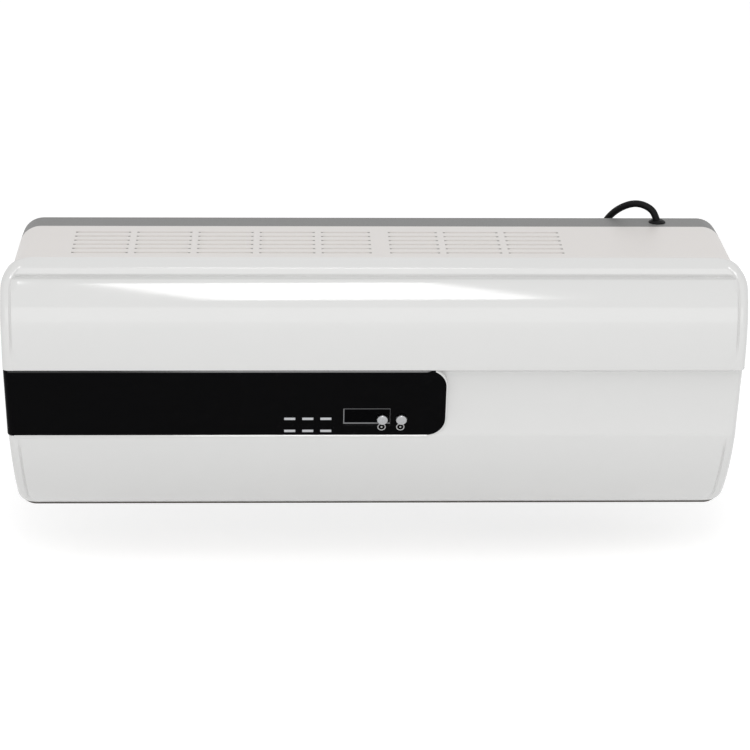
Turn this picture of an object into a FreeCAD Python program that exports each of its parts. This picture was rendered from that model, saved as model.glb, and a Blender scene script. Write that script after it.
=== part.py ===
import FreeCAD, Part
import math
import os
import re
import Sketcher

# Electric wall heater: a grey rear cover, a white casing and a moulded front panel round a cross-flow fan.
# Lengths are millimetres. X runs to the right seen from the front, Z up, and the room is on the -Y side.
# Each piece is drawn with the wall plane at Y = 0 and the underside at Z = 0. Its placement then lowers it,
# so that the origin lies on the wall, midway between the two hanging keyholes.
# "Depth" below always means the distance in front of the wall.

V = FreeCAD.Vector
doc = FreeCAD.newDocument("wall_heater")
dims = doc.addObject("Spreadsheet::Sheet", "dims")

SIZES = {
    # Housing
    "height": 227,
    "casing_width": 577,
    "rear_depth": 27,
    "seam_depth": 104,
    "seam_foot": 68,
    "seam_knee": 103,
    "top_fall": 4.5,
    "wall": 2.5,
    "casing_round": 18,
    "foot_round": 10,
    "past": 1,
    # Hanging keyholes
    "hang_height": 170,
    "key_spacing": 440,
    "key_entry": 4.5,
    "key_neck": 2.3,
    "key_rise": 11,
    # Intake slots
    "vent_left_margin": 47.5,
    "vent_right_margin": 137.5,
    "slot_back_margin": 14,
    "slot_front_margin": 13,
    "slot_width": 3,
    "slot_rows": 6,
    "slot_short": 4.8,
    "slot_rib": 4.9,
    "centre_rib": 14.6,
    # Front panel
    "panel_overhang": 6.5,
    "panel_bulge": 27,
    "rim_reach": 8,
    "rim_drop": 9.3,
    "rim_round": 13,
    "groove_fall": 2.8,
    "groove_width": 4.85,
    "groove_rise": 4.5,
    "brow_height": 170,
    "brow_round": 56,
    "field_round": 190,
    "lip_set_back": 3,
    "lip_height": 136.2,
    "lip_undercut": 7.5,
    "lip_edge": 3.5,
    "scoop_round": 135,
    "chin_round": 135,
    "foot_lift": 4,
    "crease_stock": 3,
    "panel_taper": 3.5,
    "panel_corner": 22,
    "panel_foot_corner": 12,
    "edge_round": 5,
    # Control fascia, in the slanted plane from the lip down to the lower crease
    "fascia_tilt": 15.1,
    "fascia_drop": 62.9,
    "fascia_right": 57,
    "fascia_corner": 16,
    "fascia_wall": 2.2,
    "fascia_skirt": 9,
    "fit_gap": 0.2,
    "window_left": -25,
    "window_width": 38,
    "window_top": 36.7,
    "window_drop": 15.8,
    "light_first": -68,
    "light_pitch": 14.5,
    "light_width": 9,
    "light_drop": 2.4,
    "light_row": 46.6,
    "light_row_pitch": 11.8,
    "button_radius": 4.5,
    "button_gap": 0.3,
    "button_x": 6.4,
    "button_pitch": 15.3,
    "button_row": 46.7,
    "button_proud": 2.8,
    "button_travel": 0.8,
    "flange_radius": 5.6,
    "flange_thick": 0.8,
    "stem_radius": 2,
    # Control board behind the fascia
    "board_left": -92,
    "board_right": 42,
    "board_top": 33.5,
    "board_drop": 26.5,
    "board_stand": 10,
    "board_thick": 1.6,
    "post_radius": 3,
    "post_inset": 4,
    "module_gap": 0.6,
    "module_width": 24,
    "switch_side": 6,
    "switch_tall": 3.5,
    "plunger_radius": 1.6,
    "plunger_tall": 0.8,
    "receiver_x": -33,
    "receiver_width": 6,
    # Air duct
    "duct_left_margin": 38.5,
    "duct_right_margin": 130.5,
    "duct_wall": 2,
    "guide_wall": 1.6,
    "outlet_back": 32,
    "outlet_front": 64,
    "duct_drop": 37,
    "duct_set_back": 8,
    "fan_depth": 56,
    "fan_drop": 77,
    "fan_radius": 30,
    "fan_root": 23,
    "fan_gap": 4,
    "fan_end_gap": 4,
    "fan_sections": 4,
    "blade_count": 24,
    "blade_thick": 1.1,
    "blade_sweep": 5,
    "blade_round": 9,
    "disc_thick": 2,
    "ring_radius": 21,
    "hub_radius": 7,
    "hub_length": 12,
    "shaft_radius": 3,
    "running_gap": 0.05,
    "bearing_radius": 8,
    "bearing_flange": 11,
    "bearing_flange_thick": 3,
    "scroll_start": 50,
    "scroll_foot": 85,
    "tongue_angle": 36,
    "tongue_hook": 5.5,
    "tongue_knee": 84,
    # Fan motor
    "motor_radius": 28,
    "motor_length": 40,
    "motor_cap_radius": 22,
    "motor_cap": 6,
    "bracket_radius": 34,
    "bracket_bore": 20,
    "bracket_thick": 6,
    "shaft_tail": 34,
    # Heating element
    "element_bottom": 56,
    "element_tall": 22,
    "element_end": 22,
    "frame_lip": 1,
    "frame_wall": 2.5,
    "fin_pitch": 10,
    "fin_thick": 1,
    "bar_thick": 4,
    "bar_spread": 9,
    "cutout_radius": 8,
    "cutout_tall": 6,
    "cutout_drop": 50,
    "guard_bottom": 26,
    "guard_thick": 3,
    "guard_pitch": 12,
    "guard_slot": 9,
    "guard_margin": 3,
    # Swinging louver
    "louver_height": 7,
    "louver_half": 14,
    "louver_top": 3.8,
    "louver_under": 6.2,
    "louver_bevel": 2,
    "louver_end_gap": 2,
    "louver_ear": 3,
    "louver_ear_radius": 4,
    "pin_radius": 2,
    "bush_radius": 3.5,
    "bush_flange": 4.4,
    "bush_flange_thick": 2,
    "drive_radius": 10,
    "drive_offset": 6.5,
    "drive_length": 15,
    "drive_shaft": 10,
    # Power board and wiring
    "power_margin": 10.5,
    "power_width": 106,
    "power_bottom": 18,
    "power_tall": 87,
    "power_stand": 7.5,
    "relay_width": 19,
    "relay_depth": 15.5,
    "relay_tall": 15,
    "relay_pitch": 26,
    "relay_inset": 8,
    "relay_rise": 52,
    "can_radius": 7,
    "can_tall": 22,
    "can_inset": 26,
    "can_rise": 22,
    "terminal_width": 28,
    "terminal_depth": 14,
    "terminal_tall": 14,
    "terminal_drop": 46,
    "clamp_width": 20,
    "clamp_drop": 38,
    "clamp_tall": 8,
    "clamp_depth": 15,
    # Rear cover screws
    "screw_inset": 6,
    "screw_low": 13,
    "screw_drop": 15,
    "boss_radius": 4.5,
    "screw_radius": 1.7,
    "screw_head": 3.4,
    "screw_head_thick": 2.5,
    "screw_seat": 22,
    "screw_bite": 13,
    "casing_post": 16,
    # Supply cord
    "cord_radius": 2.9,
    "gland_inset": 52.5,
    "gland_depth": 13.5,
    "gland_proud": 2.4,
    "gland_flare": 7,
    "gland_tip": 4.6,
    "gland_neck": 5.2,
    "gland_inside": 20,
    "coil_outer": 46.5,
    "coil_pitch": 6.4,
    "coil_drop": 104.4,
    "coil_aside": 93,
    "coil_behind": 12,
    "tie_width": 9,
    "tie_thick": 1.2,
    "tie_gap": 0.9,
    "plug_radius": 18,
    "plug_face": 14,
    "plug_grip": 12,
    "plug_taper": 22,
    "plug_collar": 5.5,
    "plug_pin_radius": 2.4,
    "plug_pin_length": 19,
    "plug_pin_pitch": 19,
}
for row, (alias, size) in enumerate(SIZES.items(), start=1):
    dims.set(f"A{row}", str(size))
    dims.setAlias(f"A{row}", alias)
doc.recompute()

# Places that several pieces share, each worked out from the sizes above
LEFT_COLUMNS = 5
RIGHT_COLUMNS = 3
COLUMNS = LEFT_COLUMNS + RIGHT_COLUMNS
PLACES = {
    "panel_width": "(casing_width + 2 * panel_overhang)",
    "panel_top": "(height - top_fall)",
    "vent_left": "(vent_left_margin - casing_width / 2)",
    "vent_width": "(casing_width - vent_left_margin - vent_right_margin)",
    "slot_length": f"((vent_width + 2 * slot_short - {COLUMNS - 2} * slot_rib - centre_rib) / {COLUMNS})",
    "slot_first": "(rear_depth + slot_back_margin)",
    "slot_pitch": "((seam_depth - slot_front_margin - slot_first) / (slot_rows - 1))",
    "front_depth": "(seam_depth + panel_bulge)",
    "lip_depth": "(front_depth - lip_set_back)",
    "crease_depth": "(lip_depth - fascia_drop * sin(fascia_tilt))",
    "crease_height": "(lip_height - fascia_drop * cos(fascia_tilt))",
    "timer_x": "(button_x + button_pitch)",
    "outlet_middle": "((outlet_back + outlet_front) / 2)",
    "duct_left": "(duct_left_margin - casing_width / 2)",
    "duct_right": "(casing_width / 2 - duct_right_margin)",
    "duct_outer_left": "(duct_left - duct_wall)",
    "duct_outer_right": "(duct_right + duct_wall)",
    "duct_top": "(height - duct_drop)",
    "duct_front": "(seam_depth - duct_set_back)",
    "duct_knee": "(seam_knee - duct_set_back)",
    "fan_height": "(height - fan_drop)",
    "fan_left": "(duct_left + fan_end_gap)",
    "fan_length": "(duct_right - duct_left - 2 * fan_end_gap)",
    "cutout_height": "(fan_height - cutout_drop)",
    "motor_left": "(duct_outer_right + bracket_thick)",
    "element_left": "(duct_left + element_end)",
    "element_right": "(duct_right - element_end)",
    "power_right": "(casing_width / 2 - power_margin)",
    "power_left": "(power_right - power_width)",
    "power_top": "(power_bottom + power_tall)",
    "power_back": "(wall + power_stand)",
    "power_front": "(power_back + board_thick)",
    "relay_left": "(power_left + relay_inset)",
    "relay_bottom": "(power_bottom + relay_rise)",
    "can_x": "(power_right - can_inset)",
    "can_height": "(power_bottom + can_rise)",
    "terminal_top": "(height - terminal_drop)",
    "terminal_bottom": "(terminal_top - terminal_tall)",
    "clamp_bottom": "(height - clamp_drop)",
    "screw_x": "(casing_width / 2 - screw_inset)",
    "screw_high": "(height - screw_drop)",
    "gland_x": "(casing_width / 2 - gland_inset)",
    "gland_top": "(height + gland_proud)",
    "gland_bottom": "(height - gland_inside)",
    "coil_x": "(gland_x - coil_aside)",
    "coil_height": "(gland_top - coil_drop)",
}
SCREW_PLACES = [
    ("-screw_x", "screw_low"),
    ("screw_x", "screw_low"),
    ("-screw_x", "screw_high"),
    ("screw_x", "screw_high"),
]
TINY = 1e-4
nodes = []


def cells(text):
    """The expression with the shared places written out and every size written as a cell of the sheet."""
    def written(word):
        name = word[0]
        if name in PLACES:
            return cells(PLACES[name])
        return "dims." + name if name in SIZES else name
    return re.sub(r"[a-z_]+", written, text)


def number(text):
    return float(dims.evalExpression(cells(text)))


def bind(thing, prop, text):
    thing.setExpression(prop, cells(text))


# Sketched pieces
def new_body(name):
    return doc.addObject("PartDesign::Body", name)


def origin(body, role):
    return next(item for item in body.Origin.OriginFeatures if item.Role == role)


def sketch(body, role, offset="0"):
    """An empty sketch on one of the body's origin planes, moved along the plane's normal by offset."""
    flat = body.newObject("Sketcher::SketchObject", body.Name + "_sketch")
    flat.AttachmentSupport = [(origin(body, role), "")]
    flat.MapMode = "FlatFace"
    bind(flat, "AttachmentOffset.Base.z", offset)
    return flat


def fix(flat, kind, parts, text):
    index = flat.addConstraint(Sketcher.Constraint(kind, *parts, number(text)))
    bind(flat, f"Constraints[{index}]", text)


def outline(flat, corners):
    """Adds one closed outline, drawn counterclockwise. A corner (across, up) ends a straight edge,
    (across, up, radius) one that bulges outwards, and (across, up, radius, "hollow") one that bulges in."""
    points = [V(number(corner[0]), number(corner[1]), 0) for corner in corners]
    edges = []
    for place, corner in enumerate(corners):
        start, stop = points[place - 1], points[place]
        if len(corner) == 2:
            edges.append((flat.addGeometry(Part.LineSegment(start, stop)), 1, 2))
            continue
        hollow = len(corner) == 4
        if hollow:
            start, stop = stop, start
        radius = number(corner[2])
        chord = stop - start
        rise = math.sqrt(radius**2 - chord.Length**2 / 4)
        centre = (start + stop) * 0.5 + V(-chord.y, chord.x, 0).normalize() * rise
        first, last = (math.atan2(p.y - centre.y, p.x - centre.x) for p in (start, stop))
        arc = flat.addGeometry(Part.ArcOfCircle(Part.Circle(centre, V(0, 0, 1), radius), first, last))
        fix(flat, "Radius", (arc,), corner[2])
        edges.append((arc, 2, 1) if hollow else (arc, 1, 2))
    for place, corner in enumerate(corners):
        edge, _, end = edges[place]
        following, start, _ = edges[(place + 1) % len(edges)]
        flat.addConstraint(Sketcher.Constraint("Coincident", edge, end, following, start))
        fix(flat, "DistanceX", (-1, 1, edge, end), corner[0])
        fix(flat, "DistanceY", (-1, 1, edge, end), corner[1])
    return flat


def circle(flat, across, up, radius):
    ring = flat.addGeometry(Part.Circle(V(number(across), number(up), 0), V(0, 0, 1), number(radius)))
    fix(flat, "DistanceX", (-1, 1, ring, 3), across)
    fix(flat, "DistanceY", (-1, 1, ring, 3), up)
    fix(flat, "Radius", (ring,), radius)
    return flat


def rectangle(left, right, bottom, top):
    return [(right, bottom), (right, top), (left, top), (left, bottom)]


def rounded(left, right, bottom, top, low_round, high_round):
    """A rectangle with one radius at its lower corners and one at its upper corners."""
    return [
        (f"{right} - {low_round}", bottom),
        (right, f"{bottom} + {low_round}", low_round),
        (right, f"{top} - {high_round}"),
        (f"{right} - {high_round}", top, high_round),
        (f"{left} + {high_round}", top),
        (left, f"{top} - {high_round}", high_round),
        (left, f"{bottom} + {low_round}"),
        (f"{left} + {low_round}", bottom, low_round),
    ]


def grow(body, flat, length, side="One side", back=False):
    pad = body.newObject("PartDesign::Pad", body.Name + "_pad")
    pad.Profile = flat
    bind(pad, "Length", length)
    pad.SideType = side
    pad.Reversed = back
    return pad


def sink(body, flat, length, side="One side", back=False):
    """Cuts the sketch's outline away, against its normal unless back is set, and makes sure it cut."""
    doc.recompute()
    before = body.Shape.Volume
    pocket = body.newObject("PartDesign::Pocket", body.Name + "_pocket")
    pocket.Profile = flat
    bind(pocket, "Length", length)
    pocket.SideType = side
    pocket.Reversed = back
    doc.recompute()
    if not body.Shape.Volume < before:
        raise ValueError(f"a pocket of {body.Name} cuts nothing")
    return pocket


def in_row(body, feature, axis, pitch, count, back=False):
    pattern = body.newObject("PartDesign::LinearPattern", body.Name + "_row")
    pattern.Originals = [feature]
    pattern.Direction = (origin(body, axis), [""])
    pattern.Mode = "Spacing"
    pattern.Reversed = back
    bind(pattern, "Offset", pitch)
    bind(pattern, "Occurrences", count)
    body.Tip = pattern
    return pattern


def round_chosen(body, radius, chosen):
    """Rounds the edges whose middle passes the test."""
    doc.recompute()
    names = [f"Edge{place}" for place, edge in enumerate(body.Shape.Edges, 1) if chosen(edge.CenterOfMass)]
    base = body.Tip
    fillet = body.newObject("PartDesign::Fillet", body.Name + "_fillet")
    fillet.Base = (base, names)
    bind(fillet, "Radius", radius)
    body.Tip = fillet


def round_corner(body, radius, side, low, high):
    """Rounds the two long edges that lie side to the left and right, whose middle is between two heights."""
    reach, bottom, top = number(side), number(low) - TINY, number(high) + TINY
    round_chosen(body, radius, lambda middle: abs(abs(middle.x) - reach) < TINY and bottom < middle.z < top)


def turned(name, corners):
    """A body of revolution about its own Z axis, from (radius, height) corners."""
    body = new_body(name)
    flat = outline(sketch(body, "XZ_Plane"), corners)
    spin = body.newObject("PartDesign::Revolution", name + "_turn")
    spin.Profile = flat
    spin.ReferenceAxis = (origin(body, "Z_Axis"), [""])
    spin.Angle = 360
    return body


# Plain blocks and rods
def slab(name, across, deep, up):
    """A block from and to the given X, depth and Z."""
    block = doc.addObject("Part::Box", name)
    for prop, (start, stop) in zip(("Length", "Width", "Height"), (across, deep, up)):
        bind(block, prop, f"({stop}) - ({start})")
    bind(block, "Placement.Base.x", across[0])
    bind(block, "Placement.Base.y", f"-({deep[1]})")
    bind(block, "Placement.Base.z", up[0])
    return block


def rod(name, axis, radius, start, stop, middle):
    """A cylinder along "x", "depth" or "z" from start to stop. middle is its other two places, in order."""
    bar = doc.addObject("Part::Cylinder", name)
    bind(bar, "Radius", radius)
    bind(bar, "Height", f"({stop}) - ({start})")
    if axis == "x":
        bar.Placement.Rotation = FreeCAD.Rotation(V(0, 1, 0), 90)
        place = (start, f"-({middle[0]})", middle[1])
    elif axis == "depth":
        bar.Placement.Rotation = FreeCAD.Rotation(V(1, 0, 0), 90)
        place = (middle[0], f"-({start})", middle[1])
    else:
        place = (middle[0], f"-({middle[1]})", start)
    for letter, text in zip("xyz", place):
        bind(bar, f"Placement.Base.{letter}", text)
    return bar


def cut(name, base, *tools):
    for place, tool in enumerate(tools):
        piece = doc.addObject("Part::Cut", f"{name}_cut{place}")
        piece.Base = base
        piece.Tool = tool
        base = piece
    return base


def joined(name, *pieces):
    whole = doc.addObject("Part::MultiFuse", name + "_joined")
    whole.Shapes = pieces
    return whole


def group(name, *pieces):
    whole = doc.addObject("Part::Compound", name + "_group")
    whole.Links = pieces
    return whole


def common(name, *pieces):
    whole = doc.addObject("Part::MultiCommon", name + "_common")
    whole.Shapes = pieces
    return whole


def node(label, piece, across="0", depth="0", up="0"):
    """Names a finished sub-part and puts it in the frame of the hanging keyholes."""
    piece.Label = label
    bind(piece, "Placement.Base.x", across)
    bind(piece, "Placement.Base.y", f"-({depth})")
    bind(piece, "Placement.Base.z", f"{up} - hang_height")
    nodes.append(piece)
    return piece


def leaned(piece, drop="0", across="0", lower="0"):
    """Puts a piece drawn on the fascia's plane there: its origin lies drop below the lip on the plane."""
    piece.Placement.Rotation = FreeCAD.Rotation(V(1, 0, 0), 1)
    bind(piece, "Placement.Rotation.Angle", "fascia_tilt")
    bind(piece, "Placement.Base.x", across)
    bind(piece, "Placement.Base.y", f"-lip_depth + ({drop}) * sin(fascia_tilt)")
    bind(piece, "Placement.Base.z", f"lip_height - ({drop}) * cos(fascia_tilt) - {lower}")
    return piece


def fascia_node(label, piece, drop="0", across="0"):
    piece.Label = label
    nodes.append(leaned(piece, drop, across, "hang_height"))


def free_node(label, shape):
    """A sub-part whose form is a path of lines and arcs, which no sketch holds."""
    piece = doc.addObject("Part::Feature", label)
    piece.Shape = shape
    node(label, piece)


# Rear cover: a shallow grey tray with the keyholes, the screw bosses and the posts of the power board
def rear_cover():
    body = new_body("rear_cover")
    half = "casing_width / 2"
    shell = rounded(f"-{half}", half, "0", "height", "foot_round", "casing_round")
    grow(body, outline(sketch(body, "XZ_Plane"), shell), "rear_depth")
    inner = f"({half} - wall)"
    rounds = ("(foot_round - wall)", "(casing_round - wall)")
    hollow = rounded(f"-{inner}", inner, "wall", "(height - wall)", *rounds)
    sink(body, outline(sketch(body, "XZ_Plane", "rear_depth"), hollow), "rear_depth - wall")
    bosses = sketch(body, "XZ_Plane", "wall")
    for across, up in SCREW_PLACES:
        circle(bosses, across, up, "boss_radius")
    grow(body, bosses, "rear_depth - wall")
    posts = sketch(body, "XZ_Plane", "wall")
    for across in ("power_left + post_inset", "power_right - post_inset"):
        for up in ("power_bottom + post_inset", "power_top - post_inset"):
            circle(posts, across, up, "post_radius")
    grow(body, posts, "power_stand")
    holes = sketch(body, "XZ_Plane")
    for across, up in SCREW_PLACES:
        circle(holes, across, up, "screw_radius")
    sink(body, holes, "rear_depth", back=True)
    sinks = sketch(body, "XZ_Plane")
    for across, up in SCREW_PLACES:
        circle(sinks, across, up, "(screw_head + fit_gap)")
    sink(body, sinks, "screw_seat", back=True)
    entries = sketch(body, "XZ_Plane")
    necks = sketch(body, "XZ_Plane")
    for middle in ("-key_spacing / 2", "key_spacing / 2"):
        circle(entries, middle, "hang_height", "key_entry")
        left, right = f"{middle} - key_neck", f"{middle} + key_neck"
        top = "hang_height + key_rise"
        outline(necks, [
            (right, "hang_height"),
            (right, top),
            (middle, f"{top} + key_neck", "key_neck"),
            (left, top, "key_neck"),
            (left, "hang_height"),
        ])
    sink(body, entries, "wall", back=True)
    sink(body, necks, "wall", back=True)
    gland = circle(sketch(body, "XY_Plane", "height + past"), "gland_x", "-gland_depth", "gland_neck")
    sink(body, gland, "wall + 2 * past")
    node("rear_cover", body)


# Main casing: a white sleeve whose top falls a little to the front, with the intake slots and the air outlet
def main_casing():
    body = new_body("main_casing")
    side = [
        ("-rear_depth", "height"),
        ("-seam_depth", "panel_top"),
        ("-seam_depth", "seam_knee"),
        ("-seam_foot", "foot_lift"),
        ("-seam_foot", "0"),
        ("-rear_depth", "0"),
    ]
    grow(body, outline(sketch(body, "YZ_Plane"), side), "casing_width", "Symmetric")
    hollow = [
        ("past - rear_depth", "height - wall"),
        ("-rear_depth", "height - wall"),
        ("-seam_depth", "panel_top - wall"),
        ("-seam_depth - past", "panel_top - wall"),
        ("-seam_depth - past", "wall"),
        ("past - rear_depth", "wall"),
    ]
    sink(body, outline(sketch(body, "YZ_Plane"), hollow), "casing_width - 2 * wall", "Symmetric")
    inner = "casing_width / 2 - wall"
    round_corner(body, "casing_round - wall", inner, "panel_top - wall", "height - wall")
    round_corner(body, "foot_round - wall", inner, "wall", "wall")
    round_corner(body, "casing_round", "casing_width / 2", "panel_top", "height")
    round_corner(body, "foot_round", "casing_width / 2", "0", "0")
    posts = sketch(body, "XZ_Plane", "rear_depth")
    pilots = sketch(body, "XZ_Plane", "rear_depth")
    for across, up in SCREW_PLACES:
        circle(posts, across, up, "boss_radius")
        circle(pilots, across, up, "screw_radius")
    grow(body, posts, "casing_post")
    sink(body, pilots, "screw_bite", back=True)
    mouth = rectangle("duct_left", "duct_right", "-outlet_front", "-outlet_back")
    sink(body, outline(sketch(body, "XY_Plane", "wall + past"), mouth), "wall + 2 * past")
    slots = sketch(body, "XY_Plane", "height + past")
    left = "vent_left"
    for column in range(COLUMNS):
        by_rib = column in (LEFT_COLUMNS - 1, LEFT_COLUMNS)
        right = f"{left} + slot_length" + (" - slot_short" if by_rib else "")
        outline(slots, rectangle(left, right, "-slot_first - slot_width", "-slot_first"))
        left = f"{right} + " + ("centre_rib" if column == LEFT_COLUMNS - 1 else "slot_rib")
    first_row = sink(body, slots, "past + top_fall + wall + past")
    in_row(body, first_row, "Y_Axis", "slot_pitch", "slot_rows", back=True)
    node("main_casing", body)


# Front panel: one moulded shell. Its side view has a rim, a groove, a full upper field with a sharp lip,
# a scoop under the lip and a lower field that curves back to the underside.
def panel_section(body, across, inset, rear, stock="0"):
    """The panel's side view at one X, drawn in by inset, with its rear edge moved forward by rear."""
    top, low = f"(panel_top - {inset})", f"(foot_lift + {inset})"
    brow_z = f"(panel_top - rim_drop - {inset})"
    return outline(sketch(body, "YZ_Plane", across), [
        (f"-(seam_depth + {rear})", top),
        (f"-(seam_depth + rim_reach - {inset})", brow_z, "rim_round"),
        (f"-(seam_depth + rim_reach - {inset})", f"{brow_z} - groove_fall"),
        (f"-(seam_depth + rim_reach + groove_rise - {inset})", f"{brow_z} - groove_width"),
        (f"-(front_depth - {inset})", "brow_height", "brow_round"),
        (f"-(lip_depth - {inset})", f"lip_height + {inset} / 2", "field_round"),
        (f"-(lip_depth - lip_undercut - {inset})", f"lip_height - lip_edge + {inset} / 2"),
        (f"-(crease_depth - {inset} - {stock})", "crease_height", "scoop_round", "hollow"),
        (f"-(seam_foot + {rear})", low, "chin_round"),
        (f"-(seam_depth + {rear})", "seam_knee"),
    ])


def panel_front(name, inset, side_inset):
    """The panel's front view, drawn in by its insets, as a block right through the heater."""
    body = new_body(name)
    top = f"(panel_width / 2 - {side_inset})"
    foot = f"({top} - panel_taper)"
    high, low = f"(panel_top - {inset})", f"(foot_lift + {inset})"
    corner, toe = f"(panel_corner - {inset})", f"(panel_foot_corner - {inset})"
    view = outline(sketch(body, "XZ_Plane"), [
        (f"{foot} - {toe}", low),
        (foot, f"{low} + {toe}", toe),
        (top, "seam_knee"),
        (top, f"{high} - {corner}"),
        (f"{top} - {corner}", high, corner),
        (f"-({top} - {corner})", high),
        (f"-{top}", f"{high} - {corner}", corner),
        (f"-{top}", "seam_knee"),
        (f"-{foot}", f"{low} + {toe}"),
        (f"-({foot} - {toe})", low, toe),
    ])
    grow(body, view, "front_depth + past")
    return body


def front_panel():
    """The panel, and the solid form of it that the fascia's skirt is trimmed to."""
    skin = new_body("panel_skin")
    half = "panel_width / 2"
    steps = [("0", "edge_round"), ("edge_round * 0.3", "edge_round * 0.3"), ("edge_round", "0")]
    places = [(f"-({half} - {back})", inset) for back, inset in steps]
    places += [(f"{half} - {back}", inset) for back, inset in reversed(steps)]
    sections = [panel_section(skin, across, inset, "0") for across, inset in places]
    loft = skin.newObject("PartDesign::AdditiveLoft", "panel_loft")
    loft.Profile = sections[0]
    loft.Sections = sections[1:]
    loft.Ruled = True
    outer = common("panel_outer", skin, panel_front("panel_view", "0", "0"))
    hollow = new_body("panel_hollow")
    grow(hollow, panel_section(hollow, "0", "wall", "-past", "crease_stock"), "panel_width", "Symmetric")
    overhang = "(panel_width - casing_width) / 2"
    inner = common("panel_inner", hollow, panel_front("panel_inner_view", "wall", f"({overhang} + wall)"))
    seat = new_body("fascia_seat")
    plan = fascia_plan("0", "past")
    grow(seat, outline(sketch(seat, "XZ_Plane", "-fascia_wall"), plan), "fascia_wall + past")
    leaned(seat)
    form = cut("panel_form", outer, seat)
    opening = slab(
        "panel_opening",
        ("board_left", "board_right"),
        ("-board_stand - past", "past"),
        ("-board_top - board_drop", "-board_top"),
    )
    opening = leaned(group("panel_opening", opening))
    node("front_panel", cut("front_panel", form, inner, opening))
    return form


# Control fascia: a black tray laid on the slant from lip to crease, whose skirt reaches the scoop
def fascia_plan(gap, left_past="0"):
    """The fascia's outline on its plane, drawn in by gap, and past the panel's left edge by left_past."""
    left = f"(-panel_width / 2 - {left_past} + {gap})"
    right = f"(fascia_right - {gap})"
    low, high = f"(-fascia_drop + {gap})", f"(-{gap})"
    return [
        (f"{right} - fascia_corner", low),
        (right, f"{low} + fascia_corner", "fascia_corner"),
        (right, f"{high} - fascia_corner"),
        (f"{right} - fascia_corner", high, "fascia_corner"),
        (left, high),
        (left, low),
    ]


def control_fascia(panel_form):
    tray = new_body("fascia_tray")
    grow(tray, outline(sketch(tray, "XZ_Plane"), fascia_plan("fit_gap")), "fascia_skirt", back=True)
    inside = outline(sketch(tray, "XZ_Plane", "-fascia_skirt"), fascia_plan("(fit_gap + fascia_wall)"))
    sink(tray, inside, "fascia_skirt - fascia_wall", back=True)
    left_end = number("-panel_width / 2 + fit_gap")
    round_chosen(tray, "edge_round", lambda middle: middle.x < left_end + TINY and abs(middle.y) < TINY)
    window_right = "window_left + window_width"
    window = rectangle("window_left", window_right, "-window_top - window_drop", "-window_top")
    sink(tray, outline(sketch(tray, "XZ_Plane"), window), "fascia_wall")
    lights = sketch(tray, "XZ_Plane")
    for left, right, bottom, top in light_places():
        outline(lights, rectangle(left, right, bottom, top))
    sink(tray, lights, "fascia_wall")
    hole = circle(sketch(tray, "XZ_Plane"), "timer_x", "-button_row", "button_radius + button_gap")
    sink(tray, hole, "fascia_wall")
    trimmed = cut("fascia", leaned(tray), panel_form)
    posts = [
        rod("fascia_post", "depth", "post_radius", "-board_stand", "-fascia_wall", (across, up))
        for across in ("board_left + post_inset", "board_right - post_inset")
        for up in ("-board_top - post_inset", "-board_top - board_drop + post_inset")
    ]
    node("control_fascia", joined("control_fascia", trimmed, leaned(group("fascia_posts", *posts))))


def light_places():
    """Left, right, bottom and top of the six indicator lights on the fascia's plane."""
    places = []
    for row in range(2):
        top = f"-light_row - {row} * light_row_pitch + light_drop / 2"
        for column in range(3):
            left = f"light_first + {column} * light_pitch - light_width / 2"
            places.append((left, f"{left} + light_width", f"{top} - light_drop", top))
    return places


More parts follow.
